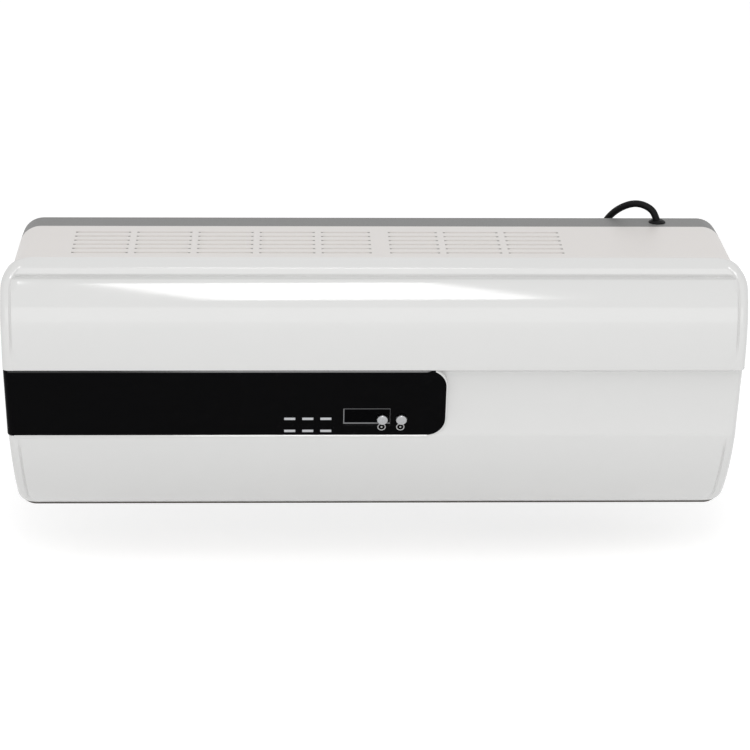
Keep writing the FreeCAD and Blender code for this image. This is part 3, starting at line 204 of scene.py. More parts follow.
# Natural nylon: a milky off-white with the same soft sheen
pale_nylon = moulded("nylon_natural", "#dcdad2", rough=0.45, grain=0.8 * MM, depth=0.03 * MM)
dress(nodes["power_board"], solder_mask)
dress(nodes["relays"], relay_pbt)
dress(nodes["capacitor"], dark_nylon)
dress(nodes["terminal_block"], pale_nylon)
dress(nodes["cord_clamp"], pale_nylon)

# Air duct
# Two end plates, a curved guide behind the fan and a tongue in front of it, moulded in heat-proof grey PBT
# and clipped into the casing.

# Grey PBT: a dull pale grey with a fine moulded texture
duct_pbt = moulded("pbt_duct_grey", "#a9a8a4", rough=0.5, grain=1 * MM, depth=0.04 * MM)
for label in ("duct_end_left", "duct_end_right", "scroll_guide", "tongue_guide"):
    dress(nodes[label], duct_pbt)

# Cross-flow fan
# A long rotor of glass-filled plastic with curved blades between discs. A stub axle runs in a rubber-seated
# bearing on the left, and the motor's shaft drives it on the right.

# Glass-filled plastic: half matt grey, with pale flecks where fibres lie at the surface
rotor_plastic = moulded("pp_glass_filled", "#5b5d61", rough=0.5, grain=0.9 * MM, depth=0.05 * MM)
lay_cells(rotor_plastic, size=1.4 * MM, shape="F1", bare=0.28, full=0.12, colour="#7d7f83")
# Rubber: deep black and dull, with a soft skin
bearing_rubber = moulded("rubber_black", "#1a1a1a", rough=0.7, grain=1 * MM, depth=0.05 * MM)
# Ground steel: bright, with fine rings round the shaft, drawn at 0.6 mm
ground_steel = moulded(
    "steel_ground", "#c3c4c6", rough=0.22, grain=0.6 * MM, depth=0.01 * MM, mottle=0.06,
    stretch=(1, 0.02, 0.02), Metallic=1.0,
)
dress(nodes["fan_rotor"], rotor_plastic)
dress(nodes["fan_bearing"], bearing_rubber)
for label in ("fan_axle", "motor_shaft", "louver_shaft"):
    dress(nodes[label], ground_steel)
for label in ("fan_motor", "motor_bracket", "louver_motor"):
    dress(nodes[label], zinc_steel)

# Heating element
# Aluminium bars and fins round the ceramic heaters, in an insulating frame across the duct. A thermal cut-out
# sits on the duct's end plate, and a black enamelled grille guards the outlet.

# Rolled aluminium: pale and soft in gloss, with the rolls' lines along it
bright_aluminium = moulded(
    "aluminium_rolled", "#cfd1d3", rough=0.3, grain=1.2 * MM, depth=0.02 * MM, mottle=0.08,
    stretch=(0.04, 1, 1), Metallic=1.0,
)
# Moulded phenolic: dark brown, with the paler specks of its wood-flour filler
phenolic = moulded("phenolic_brown", "#3b2f28", rough=0.5, grain=1 * MM, depth=0.04 * MM)
lay_cells(phenolic, size=2 * MM, shape="F1", bare=0.3, full=0.15, colour="#5e4a3b")
# Enamel: black and half glossy, with the slight ripple of a fired coat
enamel = moulded("enamel_black", "#141414", rough=0.4, grain=0.7 * MM, depth=0.02 * MM)
dress(nodes["heating_element"], bright_aluminium)
dress(nodes["element_frame"], phenolic)
dress(nodes["thermal_cutout"], dark_nylon)
dress(nodes["outlet_guard"], enamel)

# Main casing
# A sleeve moulded in white ABS with a satin face. Its top has the rows of intake slots, and its underside
# the outlet, which the louver closes. It is screwed to the rear cover from behind.
CASING_EDGE = 0.45 * MM
# Satin ABS: a warm off-white with a soft even sheen, from an etched grain that is drawn at 0.9 mm
satin_abs = moulded("abs_white_satin", "#e4e0dd", rough=0.36, grain=0.9 * MM, depth=0.03 * MM, mottle=0.02)
rounded_piece("main_casing", "casing_shell", CASING_EDGE, satin_abs, "heater")

# A slanted blade is moulded along each slot, and stops short of its two ends, which show as dark dots: grey
# blocks there carry painted shade.
# Sizes are millimetres. Along a row come eight slots with ribs between them, and a broad rib after the fifth.
SLOT_LEFT = -241.0
SLOT_LENGTH = 44.7
SLOT_COLUMNS = 8
SLOT_RIB = 4.9
RIB_AFTER = 4
CENTRE_RIB = 14.6
# The two slots beside the broad rib are shorter by this
SLOT_SHORT = 4.8
# From the wall forward come six rows, down the slight fall of the casing's top from its rear edge
SLOT_FIRST = 41.0
SLOT_PITCH = 10.0
SLOT_ROWS = 6
SLOT_WIDTH = 3.0
TOP_REAR = (27.0, 57.0)
TOP_FALL = 4.5 / 77.0
BLADE_WIDTH = 2.1
BLADE_THICK = 0.8
BLADE_SUNK = 0.15
BLADE_FALL = 0.9
WELL_LENGTH = 1.9
WELL_SUNK = 0.5
WELL_DEEP = 1.6
WELL_SPARE = 0.1
WELL_EDGE = 0.25
# A face whose normal has this share along an axis looks that way
LOOKS_ALONG = 0.9


def start_piece(name, add_primitive, **sizes):
    """Adds a primitive as the start of a new piece, with nothing else selected."""
    bpy.ops.object.select_all(action="DESELECT")
    add_primitive(**sizes)
    piece = bpy.context.object
    piece.name = name
    return piece


def spread(piece, places):
    """Copies a piece to each place, given as a matrix, and joins the copies into it."""
    pattern = piece.data.copy()
    piece.data.clear_geometry()
    take_up(piece)
    for place in places:
        copy = bpy.data.objects.new(piece.name, pattern.copy())
        bpy.context.scene.collection.objects.link(copy)
        copy.data.transform(place)
        copy.select_set(True)
    bpy.ops.object.join()


blade_places = []
well_places = []
for row in range(SLOT_ROWS):
    slot_depth = SLOT_FIRST + SLOT_PITCH * row
    slot_up = TOP_REAR[1] - TOP_FALL * (slot_depth - TOP_REAR[0])
    slot_start = SLOT_LEFT
    for column in range(SLOT_COLUMNS):
        length = SLOT_LENGTH - (SLOT_SHORT if column in (RIB_AFTER, RIB_AFTER + 1) else 0)
        blade_middle = Vector((slot_start + length / 2, -slot_depth, slot_up - BLADE_SUNK)) * MM
        blade_length = Matrix.Diagonal((length - 2 * WELL_LENGTH, 1, 1, 1))
        blade_places.append(Matrix.Translation(blade_middle) @ blade_length)
        for well_at in (slot_start + WELL_LENGTH / 2, slot_start + length - WELL_LENGTH / 2):
            well_middle = Vector((well_at, -slot_depth - SLOT_WIDTH / 2, slot_up - WELL_SUNK)) * MM
            well_places.append(Matrix.Translation(well_middle))
        slot_start += length + (CENTRE_RIB if column == RIB_AFTER else SLOT_RIB)
blades = start_piece("slot_blades", bpy.ops.mesh.primitive_cube_add, size=MM)
blades.data.transform(
    Matrix.Translation(Vector((0, -BLADE_WIDTH / 2, -BLADE_THICK / 2)) * MM)
    @ Matrix.Diagonal((1, BLADE_WIDTH, BLADE_THICK, 1))
)
for face in blades.data.polygons:
    face.select = face.normal.y < -LOOKS_ALONG
bpy.ops.object.mode_set(mode="EDIT")
bpy.ops.mesh.select_mode(type="FACE")
bpy.ops.transform.translate(value=(0, 0, -BLADE_FALL * MM))
bpy.ops.object.mode_set(mode="OBJECT")
spread(blades, blade_places)
dress(blades, satin_abs)
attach(blades, "heater")
shade_blocks = start_piece("slot_end_shade_blocks", bpy.ops.mesh.primitive_cube_add, size=MM)
shade_blocks.data.transform(
    Matrix.Translation(Vector((0, 0, -WELL_DEEP / 2)) * MM)
    @ Matrix.Diagonal((WELL_LENGTH, SLOT_WIDTH - WELL_SPARE, WELL_DEEP, 1))
)
bpy.ops.object.mode_set(mode="EDIT")
bpy.ops.mesh.select_all(action="SELECT")
bpy.ops.mesh.bevel(offset=WELL_EDGE * MM, segments=1)
bpy.ops.object.mode_set(mode="OBJECT")
spread(shade_blocks, well_places)
# Painted shade: a dull mid grey on the blocks at the slots' ends, so that they show as dark dots
slot_end_shade = moulded("abs_painted_shade", "#83827f", rough=0.6, grain=0.9 * MM, depth=0.03 * MM)
dress(shade_blocks, slot_end_shade)
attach(shade_blocks, "heater")

# Swinging louver
# A shaped blade in white satin ABS, which closes the outlet in the casing's underside. It turns on a pin in a
# nylon bush at its left end, and the shaft of a small geared motor drives it at its right end.
LOUVER_EDGE = 0.4 * MM
rounded_piece("swing_louver", "louver_blade", LOUVER_EDGE, satin_abs, "louver")
dress(nodes["louver_bush"], pale_nylon)

# Front panel
# One shell moulded in white ABS with a mirror gloss, clipped to the casing's front. A rim and a groove frame
# a full upper field that ends in a sharp lip. Under the lip lies a scoop, and below it the lower field.
PANEL_TOP = 52.5
PANEL_FOOT = -168.8
PANEL_HALF = 295.0
PANEL_FULLEST = Vector((0, -131, 0)) * MM
# The seam with the casing lies this far from the wall, and below its knee falls back to its foot.
# There the panel's sides taper too.
SEAM = 104.0
SEAM_KNEE = -67.0
SEAM_FOOT = 68.0
TAPER = 3.5
TOP_CORNER = 22.0
FOOT_CORNER = 14.0
# The rounded side edge, and the most of the side wall's depth that it takes
EDGE = 5.0
EDGE_SHARE = 0.6
EDGE_STEPS = 7
# The flange behind the side wall, which fades out over this height at the top and the foot
FLANGE = 9.0
FLANGE_FADE = 8.0
FIELD_COLUMNS = 24
FIELD_INSET = 4.0
SOFT_STEPS = 4
PANEL_WELD = 0.01 * MM
# Across each side groove: how far in from the side, how deep, and how far from the frame to the field
SIDE_GROOVE = [(6.9, 0.0, 0.0), (7.4, 0.8, 0.0), (7.9, 1.2, 0.1), (8.4, 0.8, 0.5), (9.2, 0.0, 1.0)]
# Over these heights the side groove stays closer to the frame, so that the top groove ends softly
GROOVE_EASE = (30.0, 38.0)
GROOVE_EASED = 0.5
# Where the frame leaves the rim and where it joins the field's side: height, depth and slope
FRAME_TOP = (45.7, 111.1, 1.0)
FRAME_FOOT = (22.0, 126.67, 0.42)
SHEET = 1.5
LIP = (-128.0, -33.8)
TILT = math.radians(15.1)
FASCIA_DROP = 62.9
CREASE = (LIP[0] + FASCIA_DROP * math.sin(TILT), LIP[1] - FASCIA_DROP * math.cos(TILT))
# The heights from which each side groove grows to its full depth, from its one end and from its other
UPPER_GROOVE = ((-30.0, -10.0), (44.0, 36.0))
LOWER_GROOVE = ((CREASE[1] - 1, CREASE[1] - 12), (PANEL_FOOT + 2, PANEL_FOOT + 12))
# Each stretch of the side view: where it ends, its radius (0 is straight, below 0 is hollow), its count of
# steps, and how far the edge at its end is rounded. Numbers are millimetres.
STRETCHES = [
    ((-111.1, 45.7), 0.0, 3, 0.4),
    ((-112.0, 41.0), 0.0, 1, 0.4),
    ((-110.6, 38.3), 0.0, 1, 0.4),
    ((-116.5, 38.0), 0.0, 1, 0.9),
    ((-131.0, 0.0), 56.0, 18, 0.0),
    (LIP, 190.0, 10, 0.8),
    ((-120.5, -37.3), 0.0, 2, 1.2),
    (CREASE, -135.0, 18, 0.9),
    ((-SEAM_FOOT, PANEL_FOOT), 135.0, 26, 0.0),
]


def side_view():
    """The panel's side view as points, and how far the edge through each point is rounded."""
    here = Vector((-SEAM, PANEL_TOP))
    points, rounding = [here], [0.0]
    for stop, radius, count, soft in STRETCHES:
        there = Vector(stop)
        chord = there - here
        if radius:
            rise = math.sqrt(radius ** 2 - chord.length ** 2 / 4) * (1 if radius > 0 else -1)
            centre = (here + there) / 2 + Vector((-chord.y, chord.x)).normalized() * rise
            sweep = 2 * math.asin(chord.length / 2 / radius)
        for step in range(1, count + 1):
            share = step / count
            if radius:
                angle = sweep * share
                spoke = here - centre
                point = centre + Vector((
                    spoke.x * math.cos(angle) - spoke.y * math.sin(angle),
                    spoke.x * math.sin(angle) + spoke.y * math.cos(angle),
                ))
            else:
                point = here + chord * share
            points.append(point)
            rounding.append(soft if step == count else 0.0)
        here = there
    return points, rounding


def half_width(up):
    """Half the panel's width at a height, with its taper and its rounded corners."""
    wide = PANEL_HALF
    knee = PANEL_FOOT + FOOT_CORNER
    if up < SEAM_KNEE:
        wide -= TAPER * (SEAM_KNEE - max(up, knee)) / (SEAM_KNEE - knee)
    above = up - (PANEL_TOP - TOP_CORNER)
    if above > 0:
        wide -= TOP_CORNER - math.sqrt(max(TOP_CORNER ** 2 - above ** 2, 0))
    below = knee - up
    if below > 0:
        wide -= FOOT_CORNER - math.sqrt(max(FOOT_CORNER ** 2 - below ** 2, 0))
    return wide


def seam_at(up):
    """How far the seam with the casing lies in front of the wall at a height."""
    if up > SEAM_KNEE:
        return SEAM
    return SEAM_FOOT + (SEAM - SEAM_FOOT) * (up - PANEL_FOOT) / (SEAM_KNEE - PANEL_FOOT)


def fade(value, start, stop):
    """How far a value has come from the start to the stop, as a share from 0 to 1."""
    return min(max((value - start) / (stop - start), 0), 1)


def groove_share(up):
    """The side grooves run beside the two fields and fade out at the lip and the crease."""
    return max(fade(up, *one) * fade(up, *other) for one, other in (UPPER_GROOVE, LOWER_GROOVE))


def frame_depth(up, depth):
    """The frame outside the grooves runs smoothly from the rim to the field's side, past its top edge."""
    top, top_depth, top_slope = FRAME_TOP
    foot, foot_depth, foot_slope = FRAME_FOOT
    if not foot < up < top:
        return depth
    drop = top - foot
    share = (top - up) / drop
    eased = share * share * (3 - 2 * share)
    leaving = share * (1 - share) ** 2 * drop * top_slope
    arriving = share ** 2 * (share - 1) * drop * foot_slope
    return top_depth + (foot_depth - top_depth) * eased + leaving + arriving


profile, rounding = side_view()
# Across the panel: the rear flange, the side wall, the rounded edge, the side groove and the field
ends = [("flange", FLANGE, 0.0, 0.0), ("wall", 0.0, 0.0, 0.0)]
for step in range(EDGE_STEPS + 1):
    angle = math.pi / 2 * step / EDGE_STEPS
    ends.append(("edge", 1 - math.cos(angle), 1 - math.sin(angle), 0.0))
ends += [("groove", *point) for point in SIDE_GROOVE]
columns = len(ends) * 2 + FIELD_COLUMNS
rows = len(profile)
panel = start_piece(
    "front_panel_shell", bpy.ops.mesh.primitive_grid_add,
    x_subdivisions=columns - 1, y_subdivisions=rows - 1, size=1,
)
for vertex in panel.data.vertices:
    column = round((vertex.co.x + 0.5) * (columns - 1))
    row = round((0.5 - vertex.co.y) * (rows - 1))
    depth, up = -profile[row].x, profile[row].y
    wide = half_width(up)
    side = -1 if column < columns / 2 else 1
    from_end = min(column, columns - 1 - column)
    frame_at = frame_depth(up, depth)
    edge_radius = min(EDGE, EDGE_SHARE * max(frame_at - seam_at(up), 0))
    if from_end >= len(ends):
        inner = wide - SIDE_GROOVE[-1][0] - FIELD_INSET
        share = (column - len(ends)) / (FIELD_COLUMNS - 1)
        across, out = inner * (2 * share - 1), depth
    else:
        kind, inset, back, field_share = ends[from_end]
        if kind in ("flange", "wall"):
            inset *= fade(up, PANEL_TOP, PANEL_TOP - FLANGE_FADE)
            inset *= fade(up, PANEL_FOOT, PANEL_FOOT + FLANGE_FADE)
            across, out = side * (wide - inset), seam_at(up)
        elif kind == "edge":
            across, out = side * (wide - edge_radius * inset), frame_at - edge_radius * back
        else:
            field_share *= 1 - GROOVE_EASED * fade(up, *GROOVE_EASE)
            between = frame_at + (depth - frame_at) * field_share
            across, out = side * (wide - inset), between - back * groove_share(up)
    vertex.co = Vector((across, -out, up)) * MM
weights = panel.data.attributes.new("bevel_weight_edge", "FLOAT", "EDGE")
widest = max(rounding)
for edge in panel.data.edges:
    first, second = (index // columns for index in edge.vertices)
    row = rows - 1 - first
    on_field = all(len(ends) - 1 <= index % columns <= columns - len(ends) for index in edge.vertices)
    if first == second and on_field:
        weights.data[edge.index].value = rounding[row] / widest
soften = panel.modifiers.new("soften", "BEVEL")
soften.limit_method = "WEIGHT"
soften.width = widest * MM
soften.segments = SOFT_STEPS
apply_modifiers(panel)
bpy.ops.object.mode_set(mode="EDIT")
bpy.ops.mesh.select_all(action="SELECT")
bpy.ops.mesh.remove_doubles(threshold=PANEL_WELD)
bpy.ops.mesh.normals_make_consistent(inside=False)
bpy.ops.object.mode_set(mode="OBJECT")
# The sheet is open at the back, so its outside is found by its fullest face
fullest_face = min(panel.data.polygons, key=lambda face: (face.center - PANEL_FULLEST).length)
if fullest_face.normal.y > 0:
    bpy.ops.object.mode_set(mode="EDIT")
    bpy.ops.mesh.select_all(action="SELECT")
    bpy.ops.mesh.flip_normals()
    bpy.ops.object.mode_set(mode="OBJECT")
stock = panel.modifiers.new("stock", "SOLIDIFY")
stock.thickness = SHEET * MM
stock.offset = -1
apply_modifiers(panel)
bpy.ops.object.shade_smooth_by_angle(angle=SHARP)
# Gloss ABS: a mirror-polished mould leaves only a slow waviness, here about 30 mm long
gloss_abs = moulded(
    "abs_white_gloss", "#dddddc", rough=0.09, grain=30 * MM, depth=0.02 * MM, mottle=0.02,
    Specular_IOR_Level=0.75,
)
dress(panel, gloss_abs)
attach(panel, "heater")
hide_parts("front_panel")

# Foot shade strip
# A dark strip along the casing's lower front edge, under the foot of the front panel: painted shade for the
# shaded joint there. It shows as a thin dark line that runs out round the panel's lower corners.
SHADE_STRIP_HALF = 291.4
SHADE_STRIP_CORNER = 14.9
SHADE_STRIP_TALL = 1.3
SHADE_STRIP_THICK = 0.7
SHADE_STRIP_LOW = -169.95
SHADE_STRIP_ENDS = -161.0
SHADE_STRIP_EDGE = 0.2
CORNER_STEPS = 14


def flat_face(name, left, right, low, high):
    """A flat rectangle from and to the given places in millimetres."""
    piece = start_piece(name, bpy.ops.mesh.primitive_plane_add, size=MM)
    centre = Vector(((left + right) / 2, (low + high) / 2, 0)) * MM
    piece.data.transform(Matrix.Translation(centre) @ Matrix.Diagonal((right - left, high - low, 1, 1)))
    return piece


def outline_wall(piece, corner, rounded, wall, kept, deep, edge):
    """Rounds the picked corners of a flat rectangle and keeps a wall along its outline, with soft edges."""
    take_up(piece)
    bpy.ops.object.mode_set(mode="EDIT")
    bpy.ops.mesh.select_mode(type="VERT")
    bpy.ops.mesh.select_all(action="DESELECT")
    bpy.ops.object.mode_set(mode="OBJECT")
    for vertex in piece.data.vertices:
        vertex.select = rounded(vertex.co / MM)
    bpy.ops.object.mode_set(mode="EDIT")
    bpy.ops.mesh.bevel(offset=corner * MM, segments=CORNER_STEPS, affect="VERTICES")
    bpy.ops.mesh.select_mode(type="FACE")
    bpy.ops.mesh.select_all(action="SELECT")
    bpy.ops.mesh.inset(thickness=wall * MM)
    bpy.ops.mesh.delete(type="FACE")
    bpy.ops.object.mode_set(mode="OBJECT")
    for face in piece.data.polygons:
        face.select = not kept(face.center / MM)
    bpy.ops.object.mode_set(mode="EDIT")
    bpy.ops.mesh.delete(type="FACE")
    bpy.ops.mesh.select_all(action="SELECT")
    bpy.ops.mesh.extrude_region_move(TRANSFORM_OT_translate={"value": (0, 0, -deep * MM)})
    bpy.ops.mesh.select_all(action="SELECT")
    bpy.ops.mesh.normals_make_consistent(inside=False)
    bpy.ops.object.mode_set(mode="OBJECT")
    soft = piece.modifiers.new("soft", "BEVEL")
    soft.width = edge * MM
    soft.segments = 2
    soft.limit_method = "ANGLE"
    soft.angle_limit = SHARP
    apply_modifiers(piece)
    bpy.ops.object.shade_smooth_by_angle(angle=SHARP)


shade_strip = flat_face("foot_shade_strip", -SHADE_STRIP_HALF, SHADE_STRIP_HALF, SHADE_STRIP_LOW, PANEL_TOP)
outline_wall(
    shade_strip, SHADE_STRIP_CORNER, lambda spot: spot.y < 0, SHADE_STRIP_TALL,
    lambda spot: spot.y < SHADE_STRIP_ENDS, SHADE_STRIP_THICK, SHADE_STRIP_EDGE,
)
for vertex in shade_strip.data.vertices:
    across, up, out = vertex.co / MM
    vertex.co = Vector((across, -seam_at(up) - SHADE_STRIP_THICK - out, up)) * MM
# Painted shade: a dark, dull colour for the shaded joint, with a faintly uneven skin
foot_shade = moulded("painted_foot_shade", "#4c4842", rough=0.65, grain=0.8 * MM, depth=0.05 * MM)
dress(shade_strip, foot_shade)
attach(shade_strip, "heater")

# Control fascia
# A tray in polished black ABS laid on the slant from the lip to the crease, from the left end of the panel to
# just past its middle. The control board is screwed to posts behind it.
on_fascia = Matrix.Translation(Vector((0, *LIP)) * MM) @ Matrix.Rotation(TILT, 4, "X")
off_fascia = on_fascia.inverted()
TRAY_EDGE = 0.4 * MM
TRAY_CHAMFER = 1.7
# How near the tray's face and its top the edge lies that is chamfered, and how far the chamfer is turned
FACE_NEAR = 0.1
TOP_NEAR = 0.4
CHAMFER_TURN = 0.3
tray = merged_copy("control_fascia", "fascia_tray")
tray_corners = [off_fascia @ vertex.co / MM for vertex in tray.data.vertices]
take_up(tray)
bpy.ops.object.mode_set(mode="EDIT")
bpy.ops.mesh.select_mode(type="EDGE")
bpy.ops.mesh.select_all(action="DESELECT")
bpy.ops.object.mode_set(mode="OBJECT")
for edge in tray.data.edges:
    corners = [tray_corners[index] for index in edge.vertices]
    edge.select = all(abs(corner.y) < FACE_NEAR and corner.z > -TOP_NEAR for corner in corners)
bpy.ops.object.mode_set(mode="EDIT")
bpy.ops.mesh.bevel(offset=TRAY_CHAMFER * MM, segments=1)
bpy.ops.object.mode_set(mode="OBJECT")
round_edges(tray, TRAY_EDGE, 3)
# Black gloss ABS: near black and mirror smooth, with only a trace of the room in it
black_abs = moulded(
    "abs_black_gloss", "#040405", rough=0.07, grain=20 * MM, depth=0.005 * MM, mottle=0.1,
    Specular_IOR_Level=0.03,
)
# Polished black ABS: the chamfer mirrors the light in full, as a thin grey line along the top edge
black_edge = moulded(
    "abs_black_polished", "#040405", rough=0.12, grain=20 * MM, depth=0.005 * MM, mottle=0.1,
)
dress(tray, black_abs)
tray.data.materials.append(black_edge)
for face in tray.data.polygons:
    turned = off_fascia.to_3x3() @ face.normal
    if turned.y < -CHAMFER_TURN and turned.z > CHAMFER_TURN:
        face.material_index = 1
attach(tray, "heater")
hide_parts("control_fascia")


def lay_on_fascia(piece, material):
    """Stands a piece drawn flat upright, with its face to the room, and puts it on the fascia's plane."""
    piece.data.transform(on_fascia @ Matrix.Rotation(math.pi / 2, 4, "X"))
    dress(piece, material)
    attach(piece, "heater")


# The panel's own white wall round the fascia's right end, a little proud of it
SEAT_RIGHT = 57.0
SEAT_CORNER = 16.0
SEAT_WALL = 1.0
SEAT_PROUD = 0.15
SEAT_DEEP = 9.0
SEAT_START = 30.0
SEAT_SPARE = 3.0
SEAT_EDGE = 0.3
seat = flat_face(
    "fascia_seat", SEAT_START - 2 * SEAT_WALL, SEAT_RIGHT + SEAT_WALL, -FASCIA_DROP - SEAT_WALL, SEAT_WALL,
)
outline_wall(
    seat, SEAT_CORNER + SEAT_WALL, lambda spot: spot.x > SEAT_RIGHT, SEAT_WALL,
    lambda spot: spot.x > SEAT_START + SEAT_SPARE and spot.y < -SEAT_WALL, SEAT_PROUD + SEAT_DEEP, SEAT_EDGE,
)
seat.data.transform(Matrix.Translation((0, 0, SEAT_PROUD * MM)))
lay_on_fascia(seat, gloss_abs)

# The panel's sill along the fascia's foot: a low ridge whose upper slope shows as a thin white line
SILL_LEFT = -289.0
SILL_RIGHT = 43.0
SILL_TOP = -62.3
SILL_CREST = -63.0
SILL_FOOT = -66.0
SILL_PROUD = 0.7
SILL_FOOT_PROUD = 0.05
sill = flat_face("fascia_sill", SILL_LEFT, SILL_RIGHT, SILL_FOOT, SILL_TOP)
bpy.ops.object.mode_set(mode="EDIT")
bpy.ops.mesh.extrude_region_move(TRANSFORM_OT_translate={"value": (0, 0, SILL_PROUD * MM)})
bpy.ops.mesh.select_all(action="SELECT")
bpy.ops.mesh.normals_make_consistent(inside=False)
bpy.ops.object.mode_set(mode="OBJECT")
for vertex in sill.data.vertices:
    if vertex.co.z > 0 and vertex.co.y > SILL_CREST * MM:
        vertex.co.y = SILL_CREST * MM
    elif vertex.co.z > 0:
        vertex.co.z = SILL_FOOT_PROUD * MM
lay_on_fascia(sill, gloss_abs)
dress(nodes["control_board"], solder_mask)
dress(nodes["display_module"], dark_nylon)
dress(nodes["push_switches"], dark_nylon)
dress(nodes["remote_receiver"], dark_nylon)

# Display window and indicator lights
# A smoked acrylic lens set flush in the fascia, in front of the display, with a thin grey frame round it that
# is a painted glint of its edge.
# Beside it six small bars of frosted acrylic sit in cut-outs of the fascia and show the light behind them.
WINDOW_EDGE = 0.25 * MM
LIGHT_EDGE = 0.3 * MM
# Smoked acrylic: a black lens with a hard polish, hardly told from the fascia round it
smoked = moulded(
    "acrylic_smoked", "#020203", rough=0.05, grain=15 * MM, depth=0.003 * MM, mottle=0.1,
    Specular_IOR_Level=0.02,
)
rounded_piece("display_window", "window_lens", WINDOW_EDGE, smoked, "heater")
# Frosted acrylic: pale grey and soft, from a blasted face whose grit is drawn at 0.6 mm
frosted = moulded("acrylic_frosted", "#c3c5c8", rough=0.4, grain=0.6 * MM, depth=0.02 * MM, mottle=0.08)
rounded_piece("indicator_lights", "light_bars", LIGHT_EDGE, frosted, "heater")
# The window's left, right, foot and top on the fascia, and the line of painted glint round it, which is wider
# at the left and the foot and finer at the right and the top
WINDOW = (-25.0, 12.6, -51.2, -36.7)
GLINT_LINE = 0.45
WIDER_LEFT = 0.3
WIDER_FOOT = 0.6
FINER_RIGHT = 0.3
FINER_TOP = 0.15
FILM_HEIGHT = 0.12


def raise_print_and_glint(piece, line=None):
    """Raises a flat face as a thin film, of ink for print or of grey for a painted glint, all of it or only
    an outline of the given width.
    """
    take_up(piece)
    bpy.ops.object.mode_set(mode="EDIT")
    bpy.ops.mesh.select_all(action="SELECT")
    if line:
        bpy.ops.mesh.inset(thickness=line * MM)
        bpy.ops.mesh.delete(type="FACE")
        bpy.ops.mesh.select_all(action="SELECT")
    bpy.ops.mesh.extrude_region_move(TRANSFORM_OT_translate={"value": (0, 0, FILM_HEIGHT * MM)})
    bpy.ops.mesh.select_all(action="SELECT")
    bpy.ops.mesh.normals_make_consistent(inside=False)
    bpy.ops.object.mode_set(mode="OBJECT")


left, right, low, high = WINDOW
window_glint = flat_face("window_glint", left, right, low, high)
raise_print_and_glint(window_glint, GLINT_LINE)
for vertex in window_glint.data.vertices:
    across, up, out = vertex.co / MM
    if left + GLINT_LINE / 2 < across < right - GLINT_LINE / 2:
        across += WIDER_LEFT if across < (left + right) / 2 else FINER_RIGHT
        up += WIDER_FOOT if up < (low + high) / 2 else FINER_TOP
    vertex.co = Vector((across, up, out)) * MM
# Painted glint: a thin grey film round the lens's edge, with a soft sheen
glint_grey = moulded("painted_glint_grey", "#7c7d7f", rough=0.45, grain=0.5 * MM, depth=0.01 * MM, mottle=0.15)
lay_on_fascia(window_glint, glint_grey)

# Push buttons
# Two domed caps moulded in plastic with a silver plating, and a flange behind the fascia. Each slides in its
# hole against a switch on the control board. Under each a plain ring with a dot is printed on the fascia.
CAP_EDGE = 0.15 * MM
# Silver plating: a satin metal, a little cloudy over the moulded grain
plated = moulded(
    "abs_silver_plated", "#abacae", rough=0.26, grain=1.2 * MM, depth=0.01 * MM, mottle=0.05, Metallic=1.0,
)
rounded_piece("power_button", "power_cap", CAP_EDGE, plated, "power_key")
rounded_piece("timer_button", "timer_cap", CAP_EDGE, plated, "timer_key")
RING_PLACES = {"power_ring": 5.9, "timer_ring": 21.0}
RING_ROW = -54.5
RING_RADIUS = 3.3
RING_LINE = 0.65
RING_STEPS = 36
DOT_RADIUS = 0.75
# White screen ink: a thin pale film with the same soft sheen
white_ink = moulded("ink_white", "#bcbcbd", rough=0.45, grain=0.5 * MM, depth=0.01 * MM, mottle=0.1)
for name, ring_at in RING_PLACES.items():
    for part, radius, line in (("", RING_RADIUS, RING_LINE), ("_dot", DOT_RADIUS, None)):
        ring = start_piece(
            name + part, bpy.ops.mesh.primitive_circle_add,
            vertices=RING_STEPS, radius=radius * MM, fill_type="NGON",
        )
        ring.data.transform(Matrix.Translation(Vector((ring_at, RING_ROW, 0)) * MM))
        raise_print_and_glint(ring, line)
        lay_on_fascia(ring, white_ink)

# Cord gland and supply cord
# A flared gland in the rear cover's top, and a round mains lead, both in matt black PVC. The lead arches over
# the rear edge and drops behind the heater. The rest is wound in a flat coil and held by a nylon tie.
CORD_RADIUS = 2.9 * MM
GLAND_EDGE = 0.5 * MM
INNER_EDGE = 0.2 * MM
TIE_EDGE = 0.3 * MM
PLUG_EDGE = 1.5 * MM
PIN_EDGE = 0.6 * MM
GLAND_MOUTH = Vector((236, -13.5, 59.4)) * MM
# The lead's route from the gland's mouth and the plug's from the coil's end, in millimetres
LEAD_POINTS = [
    (0, 0, -1.5), (-2.2, 1.2, 5.6), (-7, 4, 9.6), (-13.2, 7.4, 11.5), (-19.6, 10.8, 10.9), (-26.4, 14.6, 7.6),
    (-32.9, 18.3, 2.4), (-38.6, 21.6, -4.8), (-42.6, 24, -13.5), (-44.8, 25.2, -27), (-46.2, 25.6, -60),
    (-46.5, 25.5, -92),
]
PLUG_POINTS = [(0.1, 0.5, -12), (-0.2, 1.7, -24.5), (0, 1.9, -36)]
# The coil runs inwards by half turns, steps back by one pitch and runs outwards again
COIL_MIDDLE = Vector((143, 12, -45)) * MM
COIL_OUTER = 46.5 * MM
COIL_PITCH = 6.4 * MM
HALF_TURNS_IN = 4
HALF_TURNS_OUT = 5
HALF_TURN_STEPS = 8
COIL_END = COIL_MIDDLE + Vector((COIL_OUTER + COIL_PITCH, COIL_PITCH, -2 * CORD_RADIUS))
CORD_SMOOTH = 6
